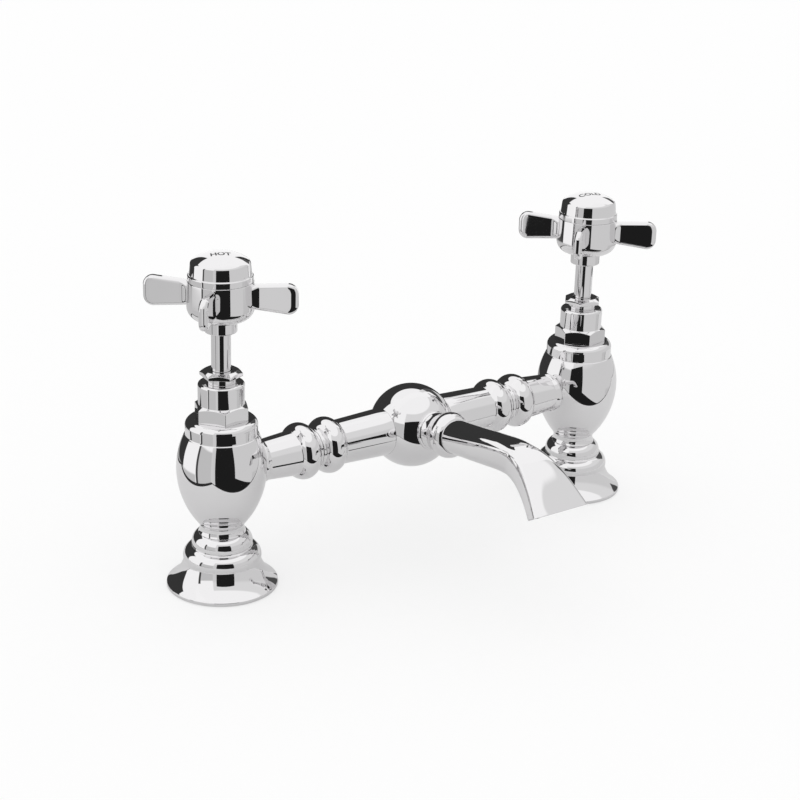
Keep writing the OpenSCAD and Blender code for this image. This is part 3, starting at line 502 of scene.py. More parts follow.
bonnet = {
    "flats": 21.0, "corner": 0.35, "hexTopZ": 84.0, "slope": 30.0, "barrelR": 9.9, "coneIn": 0.3,
    "barrelRound": 1.3, "turn": {"hot": 8.0, "cold": 12.0}, "edge": 0.18,
    # nose and thread in the body; bores for the packing, the stem and the spindle's thread
    "noseR": 8.0, "noseZ": 57.7, "threadR": 10.4, "threadZ": 66.7,
    "packingR": 6.0, "packingZ": 85.65, "stemR": 4.2, "stemZ": 69.7, "nutR": 5.26,
}
gland = {
    "flats": 16.0, "corner": 0.3, "hexZ": 96.0, "topZ": 98.6, "topR": 6.8, "slope": 30.0, "shoulderR": 6.4,
    "threadR": 5.9, "threadZ": 89.2, "boreR": 4.44, "turn": {"hot": 22.5, "cold": 47.6}, "edge": 0.15,
}


def bonnetGrid():
    b = bonnet
    hexR, angle = hexColumns(b["flats"], b["corner"])
    slope = math.tan(math.radians(b["slope"]))
    coneR = b["barrelR"] - b["coneIn"]
    sideTop = b["hexTopZ"] - (hexR - coneR) * slope
    barrelFootZ = b["hexTopZ"] - (b["barrelR"] - coneR) * slope
    hexZ, top, r = layout["bodyTopZ"], layout["barrelTopZ"], b["barrelRound"]
    bend = arcPoints((b["barrelR"] - r, top - r), r, 0, 90, 9)
    outside = [(b["noseR"], b["noseZ"]), (b["noseR"], b["threadZ"]), (b["threadR"], b["threadZ"]),
               (b["threadR"], hexZ), (hexR, hexZ), (hexR, sideTop), (b["barrelR"], barrelFootZ)]
    inside = [(b["packingR"], top), (b["packingR"], b["packingZ"]), (b["stemR"], b["packingZ"]),
              (b["stemR"], b["stemZ"]), (b["nutR"], b["stemZ"]), (b["nutR"], b["noseZ"])]
    e = b["edge"]
    cut = [e, e, e, 0, e, e, e] + [0] * len(bend) + [e] * len(inside)
    return edgedGrid([*outside, *bend, *inside], cut, angle)


def glandGrid():
    g = gland
    hexR, angle = hexColumns(g["flats"], g["corner"])
    sideTop = g["topZ"] - (hexR - g["topR"]) * math.tan(math.radians(g["slope"]))
    e = g["edge"]
    return edgedGrid([
        (g["threadR"], g["threadZ"]), (g["threadR"], layout["barrelTopZ"]),
        (g["shoulderR"], layout["barrelTopZ"]), (g["shoulderR"], g["hexZ"]), (hexR, g["hexZ"]),
        (hexR, sideTop), (g["topR"], g["topZ"]), (g["boreR"], g["topZ"]), (g["boreR"], g["threadZ"]),
    ], [e, 0, e, e, e, e, e, e, e], angle)


for side in sides:
    addPiece(side + "Bonnet", "mixer", side + "_bonnet",
             (atTap(side, turnedAbout(bonnetGrid(), bonnet["turn"][side])), True))
    addPiece(side + "GlandNut", "mixer", side + "_gland_nut",
             (atTap(side, turnedAbout(glandGrid(), gland["turn"][side])), True))
print("bonnets and gland nuts milled")


# Spindles: nose, thread, stem and square

spindle = {
    "noseR": 4.6, "noseZ": 46.65, "threadR": 5.2, "thread": (58.2, 64.2), "stemR": 4.14,
    "square": 5.6, "corner": 0.5, "squareZ": 118.3, "topZ": 127.8, "screwR": 1.85, "screwZ": 120.2,
    "edge": 0.2, "around": 144,
}


def squareRadius(flats, corner, angle):
    # distance from the middle to a rounded square's side, by angle from a flat's middle
    a = np.abs((angle + math.pi / 4) % (math.pi / 2) - math.pi / 4)
    flat = flats / 2 / np.cos(a)
    q = flats / 2 - corner
    along = q * (np.cos(a) + np.sin(a))
    arc = along + np.sqrt(np.maximum(along ** 2 - 2 * q * q + corner * corner, 0))
    return np.where(flats / 2 * np.tan(a) > q, arc, flat)


def spindleGrid():
    s = spindle
    angle = np.linspace(0, 2 * math.pi, s["around"], endpoint=False)
    square = squareRadius(s["square"], s["corner"], angle)
    low, high = s["thread"]
    grid = edgedGrid([
        (s["noseR"], s["noseZ"]), (s["noseR"], low), (s["threadR"], low), (s["threadR"], high),
        (s["stemR"], high), (s["stemR"], s["squareZ"]), (square, s["squareZ"]), (square, s["topZ"]),
        (s["screwR"], s["topZ"]), (s["screwR"], s["screwZ"]), (0, s["screwZ"]),
    ], [0] + [s["edge"]] * 8 + [0, 0], angle)
    # the nose's end closes on the axis
    end = grid[:1].copy()
    end[..., :2] = 0
    return np.concatenate([end, grid])


for side in sides:
    addPiece(side + "Spindle", side + "_spindle", side + "_spindle",
             (atTap(side, turnedAbout(spindleGrid(), layout["handleTurn"][side])), False))
print("spindles turned")


# Handles: a bowl-shaped hub on a neck, with four flat arms

handle = {
    "neckR": 6.8, "neckTopZ": 120.8, "hubR": 14.1, "hubRound": 5.8, "edge": 0.3, "soft": 0.18,
    # bores for the cap's plug, the screw, the spindle's square and its stem
    "plugR": 9.1, "plugZ": 131.7, "screwR": 1.9, "screwZ": 128.3, "squareR": 2.9, "squareZ": 118.3,
    "stemR": 4.24,
    # arms, from inside the hub to the tip
    "rootX": 10.0, "reach": 32.6, "tipRound": 4.2, "rootH": 9.9, "tipH": 13.1, "bladeT": 3.9,
    "rootT": 6.0, "bossStart": 13.1, "bossEnd": 16.7, "centreZ": 131.4,
    "rimIn": 1.7, "tipRimIn": 2.8, "rootRimIn": 1.6, "rimRound": 1.5, "rootRimRound": 1.3,
}


def ease(t):
    # 0 up to 0, 1 from 1, and t * t * (3 - 2 * t) between, level at both ends
    t = np.clip(t, 0, 1)
    return t * t * (3 - 2 * t)


def hubOutline():
    h, low, high = handle, layout["handleZ"], layout["capZ"]
    return softOutline([
        [[h["neckR"] - h["edge"], low], [h["neckR"], low + h["edge"]], [h["neckR"], h["neckTopZ"]]],
        arcPoints((h["hubR"] - h["hubRound"], h["neckTopZ"] + h["hubRound"]), h["hubRound"], -90, 0, 30),
        [[h["hubR"] - h["edge"], high], [h["plugR"], high], [h["plugR"], h["plugZ"]],
         [h["screwR"], h["plugZ"]], [h["screwR"], h["screwZ"]], [h["squareR"], h["screwZ"]],
         [h["squareR"], h["squareZ"]], [h["stemR"], h["squareZ"]], [h["stemR"], low]],
    ], h["soft"], count=210)


def armGrid(alongCount=64, cornerCount=15, tipCount=7, rimCount=18, faceCount=14):
    # a flat plate: its edge line runs out along the top, round the tip's corner and down to the
    # middle; the rim is rounded from that line inwards, and flat faces span between the rims
    h = handle
    tipX = h["reach"] - h["tipRound"]

    def halfHeight(x):
        grow = np.clip((x - h["rootX"]) / (tipX - h["rootX"]), 0, 1)
        return (h["rootH"] + (h["tipH"] - h["rootH"]) * grow) / 2

    straight = np.linspace(h["rootX"], tipX, alongCount)
    corner = np.radians(np.linspace(90, 0, cornerCount + 1))[1:]
    tipHalf = halfHeight(tipX)
    down = np.linspace(tipHalf - h["tipRound"], 0, tipCount + 1)[1:]
    x = np.concatenate([straight, tipX + h["tipRound"] * np.cos(corner), np.full(tipCount, h["reach"])])
    height = np.concatenate([halfHeight(straight), tipHalf - h["tipRound"] * (1 - np.sin(corner)), down])
    outX = np.concatenate([np.zeros(alongCount), np.cos(corner), np.ones(tipCount)])
    outUp = np.sqrt(1 - outX * outX)
    boss = 1 - ease((x - h["bossStart"]) / (h["bossEnd"] - h["bossStart"]))
    halfT = (h["bladeT"] + (h["rootT"] - h["bladeT"]) * boss) / 2
    rimIn = h["rimIn"] + (h["tipRimIn"] - h["rimIn"]) * outX + h["rootRimIn"] * boss
    rimUp = np.minimum(h["rimRound"] + h["rootRimRound"] * boss, halfT)
    # the rim, from the near face over the edge to the far face
    a = np.radians(np.linspace(0, 180, rimCount))
    inset = rimIn[:, None] * (1 - np.sin(a))
    rimY = np.where(np.cos(a) >= 0, 1, -1) * (halfT - rimUp)[:, None] + rimUp[:, None] * np.cos(a)
    rimX = x[:, None] - outX[:, None] * inset
    # at the very tip the two rims meet, so the height there never passes the middle
    rimH = np.maximum(height[:, None] - outUp[:, None] * inset, 0)
    up = np.linspace(-1, 1, faceCount)[1:-1]
    faceX = np.repeat(rimX[:, :1], len(up), 1)
    faceY = np.repeat(rimY[:, :1], len(up), 1)
    loopX = np.concatenate([faceX, rimX, faceX, rimX[:, ::-1]], 1)
    loopY = np.concatenate([faceY, rimY, -faceY, rimY[:, ::-1]], 1)
    loopH = np.concatenate([rimH[:, :1] * up, rimH, -rimH[:, :1] * up, -rimH[:, ::-1]], 1)
    grid = np.stack([loopX, loopY, loopH + h["centreZ"]], -1)
    # the inner end closes inside the hub
    return np.concatenate([flatEnd(grid[0]), grid])


for side in sides:
    arms = [turnedAbout(armGrid(), layout["handleTurn"][side] + quarter) for quarter in (0, 90, 180, 270)]
    addPiece(side + "Handle", side + "_spindle", side + "_handle",
             (atTap(side, turnedGrid(hubOutline())), True), *[(atTap(side, arm), False) for arm in arms])
print("handles made")


# Index caps: a flange and a domed crown, with its plug

cap = {
    "flangeR": 13.6, "flangeH": 2.8, "crownR": 12.9, "sideH": 4.3, "lean": 0.4, "roundW": 1.2,
    "roundH": 1.8, "domeH": 3.2, "domeOut": 0.9, "edge": 0.3, "plugR": 9.0, "plugZ": 134.4, "soft": 0.14,
}
flangeTop = layout["capZ"] + cap["flangeH"]
sideEnd = np.array([cap["crownR"] - cap["lean"], flangeTop + cap["sideH"]])
domeStart = sideEnd + [-cap["roundW"], cap["roundH"]]
domeTop = domeStart[1] + cap["domeH"]
capOutline = softOutline([
    [[0, cap["plugZ"]], [cap["plugR"], cap["plugZ"]], [cap["plugR"], layout["capZ"]],
     [cap["flangeR"], layout["capZ"]], [cap["flangeR"], flangeTop - cap["edge"]],
     [cap["flangeR"] - cap["edge"], flangeTop], [cap["crownR"], flangeTop]],
    bowPoints(sideEnd, domeStart, cap["edge"], 16),
    bowPoints(domeStart, [0, domeTop], cap["domeOut"], 40),
], cap["soft"], count=150, closed=False)
capOutline[[0, -1], 0] = 0    # both ends close on the axis
for side in sides:
    addPiece(side + "IndexCap", side + "_spindle", side + "_index_cap",
             (atTap(side, turnedGrid(capOutline)), False))
print("index caps turned")


# Lettering: plain words let into the caps in black enamel

lettering = {
    "words": {"hot": "HOT", "cold": "COLD"}, "size": 4.2, "wide": 0.95, "bold": 0.1,
    "proud": 0.02, "sunk": 0.15, "belowTop": 0.002, "cuts": 3,
    "middle": {"hot": (-101.2, -2.2), "cold": (98.7, -1.8)}, "turn": {"hot": -24.0, "cold": -17.0},
}
domeLine = capOutline[capOutline[:, 1] > domeStart[1]]


def domeZ(x, y, side):
    # height of the cap's crown over a point of the deck
    away = np.hypot(x + (layout["tapX"] if side == "hot" else -layout["tapX"]), y)
    return np.interp(away, domeLine[::-1, 0], domeLine[::-1, 1])


def wordMesh(side):
    # the word is written flat, made a mesh, cut fine and given a depth, then laid on the crown
    curve = bpy.data.curves.new(side + "Word", "FONT")
    curve.body = lettering["words"][side]
    curve.size, curve.offset = lettering["size"], lettering["bold"]
    curve.align_x, curve.align_y = "CENTER", "CENTER"
    writer = bpy.data.objects.new(side + "Word", curve)
    work = bmesh.new()
    work.from_mesh(writer.to_mesh())
    writer.to_mesh_clear()
    bpy.data.objects.remove(writer)
    bpy.data.curves.remove(curve)
    bmesh.ops.remove_doubles(work, verts=work.verts, dist=1e-4)
    bmesh.ops.triangulate(work, faces=work.faces)
    bmesh.ops.subdivide_edges(work, edges=work.edges, cuts=lettering["cuts"], use_grid_fill=True)
    bottom = bmesh.ops.extrude_face_region(work, geom=work.faces[:])["geom"]
    bottom = [v for v in bottom if isinstance(v, bmesh.types.BMVert)]
    bmesh.ops.translate(work, verts=bottom, vec=(0, 0, -1))
    bmesh.ops.recalc_face_normals(work, faces=work.faces)
    mesh = bpy.data.meshes.new(side + "Word")
    work.to_mesh(mesh)
    work.free()
    # each point goes to the crown's height, the top a little proud and the bottom sunk
    flat = np.empty(len(mesh.vertices) * 3)
    mesh.vertices.foreach_get("co", flat)
    flat = turnedAbout(flat.reshape(-1, 3) * [lettering["wide"], 1, 1], lettering["turn"][side])
    x, y, depth = flat.T + np.append(lettering["middle"][side], 0)[:, None]
    z = domeZ(x, y, side) + np.where(depth < 0, -lettering["sunk"], lettering["proud"])
    z = np.minimum(z, domeTop - lettering["belowTop"])
    mesh.vertices.foreach_set("co", (np.stack([x, y, z], 1) * mm).ravel())
    mesh.shade_flat()
    mesh.update()
    return mesh


for side in sides:
    addMesh(side + "Word", wordMesh(side), "enamel", side + "_spindle", side + "_index_cap")
print("caps lettered")


# Bridge: arms, tubes and the ball

bridge = {
    "jointX": 53.4, "beadOffset": 6.5, "beadHalf": 5.1, "beadR": 12.7, "grooveR": 8.8,
    "armBeadR": 10.05, "armR": 8.9, "ringX": 83.05, "ringW": 2.6, "ringOut": 0.6,
    "tubeBeadR": 10.0, "tubeBallR": 10.8, "ballR": 19.15, "ballWall": 3.4, "waterR": 4.5,
    "soft": 0.28, "ballSoft": 0.1, "bulbGap": 0.1, "seam": 0.05,
    # the stretch near the body that slides until the arm's end lies on the bulb
    "slide": (77.0, 86.0),
    # spigots: radius, inner end and groove; sockets: radius and end
    "portSpigotR": 7.2, "portEndX": 88.4, "portGrooveR": 6.0, "portGroove": (84.5, 86.5),
    "jointSpigotR": 7.0, "jointEndX": 45.4, "jointGrooveR": 5.8, "jointGroove": (48.4, 50.4),
    "jointSocketR": 7.1, "jointSocketX": 45.35, "ballSpigotR": 7.6, "ballEndX": 13.75, "ballSocketR": 7.7,
}


def bulbRadiusAt(z, gap):
    # radius of the bulb's outer face at a height, from its own outline
    line = np.concatenate([np.atleast_2d(np.array(p, float)) for p in bulbOuter(gap)[:3]])
    return np.interp(z, line[:, 1], line[:, 0])


def armOfBridge():
    b = bridge
    bead = b["jointX"] + b["beadOffset"]
    rise = b["beadR"] - (b["grooveR"] + b["armBeadR"]) / 2
    outline = softOutline([
        [[b["grooveR"], b["jointX"]]],
        bowPoints([b["grooveR"], bead - b["beadHalf"]], [b["armBeadR"], bead + b["beadHalf"]], rise, 40),
        bowPoints([b["armR"], b["ringX"] - b["ringW"]], [b["armR"], b["ringX"] + b["ringW"] / 2],
                  b["ringOut"], 20)[:16],
        [[b["portSpigotR"], b["ringX"]]],
        groovePoints(b["portSpigotR"], b["portGrooveR"], b["portGroove"]),
        [[b["portSpigotR"], b["portEndX"]], [b["waterR"], b["portEndX"]], [b["waterR"], b["jointEndX"]],
         [b["jointSpigotR"], b["jointEndX"]]],
        groovePoints(b["jointSpigotR"], b["jointGrooveR"], b["jointGroove"]),
        [[b["jointSpigotR"], b["jointX"]]],
    ], b["soft"], count=300)
    grid = turnedGrid(outline)
    x, y, z = grid[..., 0], grid[..., 1], grid[..., 2]
    # near the body each point slides along the arm until the end face lies on the bulb:
    # there (distance from the tap's axis)^2 + y^2 = (bulb's radius at that height)^2
    wall = bulbRadiusAt(layout["bridgeZ"] - x, b["bulbGap"])
    seat = layout["tapX"] - np.sqrt(np.maximum(wall ** 2 - y ** 2, 0))
    start, end = b["slide"]
    share = (np.clip((z - start) / (b["ringX"] - start), 0, 1)
             * np.clip((end - z) / (end - b["ringX"]), 0, 1))
    grid[..., 2] = z + share * (seat - b["ringX"])
    return grid


def tubeOfBridge():
    b = bridge
    bead = b["jointX"] - b["beadOffset"]
    rise = b["beadR"] - (b["grooveR"] + b["tubeBeadR"]) / 2
    face = b["ballR"] + b["seam"]
    seatAngle = asinDeg(b["tubeBallR"] / face)
    spigotAngle = asinDeg(b["ballSpigotR"] / face)
    end = b["jointX"] - b["seam"]
    return turnedGrid(softOutline([
        arcPoints((0, 0), face, 90 - spigotAngle, 90 - seatAngle, 10),
        [[b["tubeBallR"], b["ballR"]]],
        bowPoints([b["tubeBeadR"], bead - b["beadHalf"]], [b["grooveR"], bead + b["beadHalf"]], rise, 40),
        [[b["grooveR"], end], [b["jointSocketR"], end], [b["jointSocketR"], b["jointSocketX"]],
         [b["waterR"], b["jointSocketX"]], [b["waterR"], b["ballEndX"]], [b["ballSpigotR"], b["ballEndX"]]],
    ], b["soft"], count=230))


def ballGrid():
    # a thick shell about the bridge's axis, open at both poles for the tubes' spigots
    b = bridge
    innerR = b["ballR"] - b["ballWall"]
    outer = asinDeg(b["ballSocketR"] / b["ballR"])
    inner = asinDeg(b["ballSocketR"] / innerR)
    return turnedGrid(softOutline([
        arcPoints((0, 0), b["ballR"], outer - 90, 90 - outer, 90),
        arcPoints((0, 0), innerR, 90 - inner, inner - 90, 40),
    ], b["ballSoft"], count=170), around=200)


for side in sides:
    addPiece(side + "BridgeArm", "mixer", side + "_bridge_arm", (alongBridge(side, armOfBridge()), True))
    addPiece(side + "BridgeTube", "mixer", side + "_bridge_tube", (alongBridge(side, tubeOfBridge()), True))
addPiece("bridgeBall", "mixer", "bridge_ball", (alongBridge("cold", ballGrid()), True))
print("bridge made")


# Spout: collar, neck, shoulder and the flared blade

spout = {
    "tilt": 9.3, "bladeTilt": 7.4, "length": 78.0, "bendStart": 34.0, "bendLength": 42.5,
    "bendAngle": 50.8, "mouthCut": 16.4, "waistHalfW": 7.9, "mouthHalfW": 14.4, "flareLength": 30.4,
    "flarePower": 1.13, "halfH": 6.0, "thinLength": 57.0, "mouthHalfH": 4.6, "square": 4.6,
    "wall": 1.5, "root": 18.95, "neckR": 8.5, "neckLength": 6.4, "neckHollow": 0.5,
    "shoulderR": 10.3, "shoulderLength": 8.6, "sunk": 3.0, "waterR": 3.8, "socketR": 6.1,
    "socketEnd": 26.0, "soft": 0.25,
}
collar = {
    "r": 9.0, "back": 16.96, "front": 18.9, "edge": 0.6, "spoutR": 6.0, "spoutEnd": 25.9,
    "grooveR": 4.8, "groove": (21.4, 23.4), "waterR": 3.8, "ballR": 6.5, "ballEnd": 13.75,
    "ballFace": 17.98, "soft": 0.1,
}


def alongSpout(points):
    # a piece drawn along Z, laid forwards and up from the ball by the spout's tilt
    a = math.radians(90 - spout["tilt"])
    x, y, z = points[..., 0], points[..., 1], points[..., 2]
    return np.stack([x, y * math.cos(a) - z * math.sin(a),
                     y * math.sin(a) + z * math.cos(a) + layout["bridgeZ"]], -1)


def bladeGrid(steps=150, points=128):
    # rings along a middle line that bends down by an eased angle; each ring is a rounded
    # oblong, wide at the mouth, and tilts back towards the mouth's cut
    b = spout
    s = np.linspace(0, b["length"], steps + 1)
    middle = (s[1:] + s[:-1]) / 2

    def angleAt(where):
        bend = ease((where - b["bendStart"]) / b["bendLength"])
        return np.radians(b["bladeTilt"] - b["bendAngle"] * bend)

    run = np.concatenate([[0], np.cumsum(np.diff(s) * np.cos(angleAt(middle)))])
    rise = np.concatenate([[0], np.cumsum(np.diff(s) * np.sin(angleAt(middle)))])
    tilt = math.radians(b["tilt"])
    flare = np.clip((s - b["length"] + b["flareLength"]) / b["flareLength"], 0, None)
    thin = np.clip(1 - s / b["thinLength"], 0, None)
    halfW = b["waistHalfW"] + (b["mouthHalfW"] - b["waistHalfW"]) * flare ** b["flarePower"]
    halfH = (b["halfH"] + (b["waistHalfW"] - b["halfH"]) * thin ** 2
             + (b["mouthHalfH"] - b["halfH"]) * ease(flare))
    lean = angleAt(s) - tilt - math.radians(b["mouthCut"]) * ease(flare)
    square = 2 + (b["square"] - 2) * ease(s / (b["length"] - b["flareLength"]))
    out = run * math.cos(tilt) + rise * math.sin(tilt)
    up = rise * math.cos(tilt) - run * math.sin(tilt)
    start = b["root"] + b["neckLength"] + b["shoulderLength"] - b["sunk"]

    def rings(less):
        # |x / half width|^square + |y / half height|^square = 1, by an even angle
        a = np.linspace(0, 2 * math.pi, points, endpoint=False)[None, :]
        power = 2 / square[:, None]
        c, d = np.cos(a), np.sin(a)
        x = (halfW - less)[:, None] * np.sign(c) * np.abs(c) ** power
        y = (halfH - less)[:, None] * np.sign(d) * np.abs(d) ** power
        return np.stack([x, up[:, None] + y * np.cos(lean)[:, None],
                         (start + out)[:, None] - y * np.sin(lean)[:, None]], -1)

    outer, inner = rings(0.0), rings(b["wall"])
    # the lip's three rows between the outer and the inner skin keep its two edges tight
    lip = [outer[-1] + (inner[-1] - outer[-1]) * t for t in (0.12, 0.5, 0.88)]
    return np.concatenate([flatEnd(outer[0]), outer, np.stack(lip), inner[::-1], flatEnd(inner[0])])


def neckOutline():
    s = spout
    neckEnd = s["root"] + s["neckLength"]
    shoulderEnd = neckEnd + s["shoulderLength"]
    peak = s["shoulderR"] - (s["neckR"] + s["waistHalfW"]) / 2
    return softOutline([
        bowPoints([s["neckR"], s["root"]], [s["neckR"], neckEnd], -s["neckHollow"], 20),
        bowPoints([s["neckR"], neckEnd], [s["waistHalfW"], shoulderEnd], peak, 40),
        [[s["waterR"], shoulderEnd], [s["waterR"], s["socketEnd"]], [s["socketR"], s["socketEnd"]],
         [s["socketR"], s["root"]]],
    ], s["soft"], count=150)


def collarOutline():
    c = collar
    return softOutline([
        [[c["r"], c["back"]], [c["r"], c["front"] - c["edge"]], [c["r"] - c["edge"], c["front"]],
         [c["spoutR"], c["front"]]],
        groovePoints(c["spoutR"], c["grooveR"], c["groove"]),
        [[c["spoutR"], c["spoutEnd"]], [c["waterR"], c["spoutEnd"]], [c["waterR"], c["ballEnd"]],
         [c["ballR"], c["ballEnd"]], [c["ballR"], c["ballFace"]]],
    ], c["soft"], count=140)


addPiece("spoutNeckAndBlade", "mixer", "spout",
         (alongSpout(turnedGrid(neckOutline())), True), (alongSpout(bladeGrid()), False))
addPiece("spoutCollar", "mixer", "spout_collar", (alongSpout(turnedGrid(collarOutline())), True))
print("spout lofted")


# Studio: white paper, a reflection tent and the camera

studio = {
    "eye": (-453.10, -605.88, 351.99), "back": (-0.5546, -0.7528, 0.3548),
    "right": (0.8113, -0.5838, 0.0294), "up": (0.1850, 0.3042, 0.9345),
    "lens": 79.93, "sensor": 36.0, "clip": (0.01, 50.0),
    "floorHalf": 9000, "floorZ": -0.2, "paper": 0.98,
    "bleached": 0.55,    # share of the floor's soft shadow that the picture has lost
    "daylight": 1.0,
}
# What polished metal sees. Angles are in degrees round Z from +X, and above the horizon.
tent = {
    "roof": 1.05,
    # far panels, later ones over earlier ones: from, to, bottom, top, blur, brightness
    "panels": [
        (178, 250, -90, 20, 3.0, 0.60),    # grey side sheet on the left
        (214, 397, -90, 49, 4.0, 0.80),    # grey side sheet on the right, lighter towards its top
        (214, 397, -90, 24, 9.0, 0.69),
        (172, 178, -90, 28, 2.0, 0.06),    # gap between the left sheets
        (8, 37, 10, 34, 2.0, 0.08),        # gaps and the dark room behind
        (37, 127, -90, 41, 1.0, 0.04),
        (321, 530, -90, -15, 3.0, 0.60),   # beyond the shelf, behind and at the left
    ],
    # near cards: two ends on the ground, lowest point, highest point at each end, brightness
    "cards": {
        "openFront": ((-374, -261), (-86, -396), -370, 272, 272, 0.014),
        "openUnder": ((-86, -396), (336, -410), -370, -52, -222, 0.014),
        "backLight": ((-460, 51), (460, 51), 205, 700, 700, 1.07),
        "backHot": ((-97, 51), (-34, 51), 137, 205, 205, 1.07),
        "backCold": ((112, 51), (190, 51), 137, 205, 205, 1.07),
        "backSpout": ((-25, 10), (40, 10), 110, 205, 205, 1.07),
    },
    # the shelf that the mixer stands on, and the dark gap round it, narrow at the front
    "shelf": {"x": (-215, 470), "y": (-90, 190), "z": -0.1, "paper": 0.76},
    "gap": {"wide": 22, "front": 6, "z": -1.0, "glow": 0.03},
}


def makeCamera():
    # placed as it was solved from the photo
    data = bpy.data.cameras.new("camera")
    data.lens, data.sensor_width = studio["lens"], studio["sensor"]
    data.clip_start, data.clip_end = studio["clip"]
    camera = newObject("camera", data)
    basis = Matrix([studio["right"], studio["up"], studio["back"]]).transposed().to_4x4()
    camera.matrix_world = Matrix.Translation(Vector(studio["eye"]) * mm) @ basis
    bpy.context.scene.camera = camera


def stageSheet(name, corners, material):
    # a sheet of the studio, by its four corners
    mesh = bpy.data.meshes.new(name)
    mesh.from_pydata((np.array(corners, float) * mm).tolist(), [], [(0, 1, 2, 3)])
    mesh.materials.append(material)
    sheet = newObject(name, mesh)
    return sheet


def levelSheet(name, xs, ys, z, material):
    # the same, lying flat over a span of x and of y
    (x0, x1), (y0, y1) = xs, ys
    return stageSheet(name, [(x0, y0, z), (x1, y0, z), (x1, y1, z), (x0, y1, z)], material)


def paperMaterial(name, tone):
    material, tree = newMaterial(name)
    shader = addNode(tree, "ShaderNodeBsdfDiffuse", {"Color": (tone, tone, tone, 1)})
    addNode(tree, "ShaderNodeOutputMaterial", {}, {"Surface": shader.outputs["BSDF"]})
    return material


def bleachedPaper():
    # white paper whose soft shadow the picture shows only in part
    material = paperMaterial("paperFloor", studio["paper"])
    tree = material.node_tree
    paper, output = tree.nodes["Diffuse BSDF"], tree.nodes["Material Output"]
    seen = addNode(tree, "ShaderNodeLightPath").outputs["Is Camera Ray"]
    share = addNode(tree, "ShaderNodeMath", {"operation": "MULTIPLY", 1: studio["bleached"]}, {0: seen})
    white = addNode(tree, "ShaderNodeEmission", {"Strength": 1.0})
    mix = addNode(tree, "ShaderNodeMixShader", {},
                  {0: share.outputs[0], 1: paper.outputs[0], 2: white.outputs[0]})
    tree.links.new(mix.outputs[0], output.inputs["Surface"])
    return material


def glowMaterial(name, strength):
    material, tree = newMaterial(name)
    shader = addNode(tree, "ShaderNodeEmission", {"Strength": strength})
    addNode(tree, "ShaderNodeOutputMaterial", {}, {"Surface": shader.outputs["Emission"]})
    return material


def onlyInMirrors(sheet):
    # seen in the polished metal, and by nothing else
    sheet.visible_camera = sheet.visible_diffuse = sheet.visible_shadow = False
    sheet.visible_transmission = sheet.visible_volume_scatter = False


def makeFloor():
    # a floor for the camera and the daylight; for the metal, a shelf with a dark gap round it
    half, shelf, gap = studio["floorHalf"], tent["shelf"], tent["gap"]
    floor = levelSheet("floor", (-half, half), (-half, half), studio["floorZ"], bleachedPaper())
    floor.visible_glossy = False
    onlyInMirrors(levelSheet("shelf", shelf["x"], shelf["y"], shelf["z"],
                             paperMaterial("paperShelf", shelf["paper"])))
    (x0, x1), (y0, y1) = shelf["x"], shelf["y"]
    onlyInMirrors(levelSheet("shelfGap", (x0 - gap["wide"], x1 + gap["wide"]),
                             (y0 - gap["front"], y1 + gap["wide"]), gap["z"],
                             glowMaterial("darkGap", gap["glow"])))


def makeCards():
    for name, (a, b, low, highA, highB, strength) in tent["cards"].items():
        corners = [(*a, low), (*b, low), (*b, highB), (*a, highA)]
        onlyInMirrors(stageSheet(name, corners, glowMaterial(name, strength)))


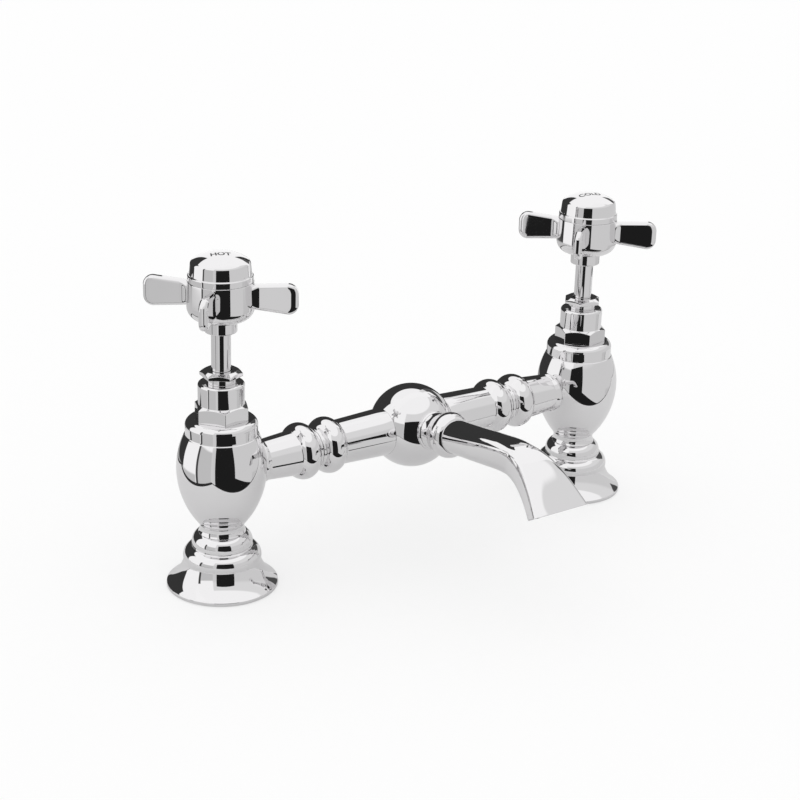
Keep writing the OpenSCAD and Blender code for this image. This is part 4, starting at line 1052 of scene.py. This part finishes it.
def makeWorld():
    # mirror rays see the tent's far panels, and every other ray sees plain white
    world = bpy.data.worlds.new("tent")
    bpy.context.scene.world = world
    world.use_nodes = True
    tree = world.node_tree
    tree.nodes.clear()
    way = addNode(tree, "ShaderNodeTexCoord").outputs["Generated"]
    flat = addNode(tree, "ShaderNodeVectorMath", {"operation": "MULTIPLY", 1: (1, 1, 0)}, {0: way})
    level = addNode(tree, "ShaderNodeVectorMath", {"operation": "NORMALIZE"}, {0: flat.outputs[0]}).outputs[0]
    rise = addNode(tree, "ShaderNodeSeparateXYZ", {}, {"Vector": way}).outputs["Z"]

    def below(top, blur):
        # 1 below an angle above the horizon, 0 above it: a soft step in the angle's sine
        low, high = (math.sin(math.radians(top + k * blur)) for k in (-0.5, 0.5))
        return rescaled(tree, rise, {"interpolation_type": "SMOOTHSTEP", "From Min": low,
                                     "From Max": high, "To Min": 1.0, "To Max": 0.0})

    def between(start, end, blur):
        # 1 between two angles round Z: a soft step in the cosine of the angle from their middle
        middle, half = math.radians((start + end) / 2), (end - start) / 2
        facing = (math.cos(middle), math.sin(middle), 0)
        cosine = addNode(tree, "ShaderNodeVectorMath", {"operation": "DOT_PRODUCT", 1: facing},
                         {0: level}).outputs["Value"]
        low, high = (math.cos(math.radians(half + k * blur)) for k in (0.5, -0.5))
        return rescaled(tree, cosine, {"interpolation_type": "SMOOTHSTEP", "From Min": low, "From Max": high})

    glow = addNode(tree, "ShaderNodeValue").outputs[0]
    glow.default_value = tent["roof"]
    for start, end, bottom, top, blur, brightness in tent["panels"]:
        mask = addNode(tree, "ShaderNodeMath", {"operation": "MULTIPLY"},
                       {0: between(start, end, blur), 1: below(top, blur)}).outputs[0]
        if bottom > -90:
            mask = addNode(tree, "ShaderNodeMath", {"operation": "SUBTRACT", "use_clamp": True},
                           {0: mask, 1: below(bottom, blur)}).outputs[0]
        # 2 and 3 are the mix node's plain number sockets
        glow = addNode(tree, "ShaderNodeMix", {3: brightness}, {0: mask, 2: glow}).outputs[0]
    inMirror = addNode(tree, "ShaderNodeLightPath").outputs["Is Glossy Ray"]
    plain = addNode(tree, "ShaderNodeBackground", {"Color": (1, 1, 1, 1), "Strength": studio["daylight"]})
    seen = addNode(tree, "ShaderNodeBackground", {"Color": (1, 1, 1, 1)}, {"Strength": glow})
    mix = addNode(tree, "ShaderNodeMixShader", {},
                  {0: inMirror, 1: plain.outputs["Background"], 2: seen.outputs["Background"]})
    addNode(tree, "ShaderNodeOutputWorld", {}, {"Surface": mix.outputs["Shader"]})


makeCamera()
makeFloor()
makeCards()
makeWorld()
bpy.context.scene.view_settings.view_transform = "Standard"
print("studio lit")

bpy.context.view_layer.update()
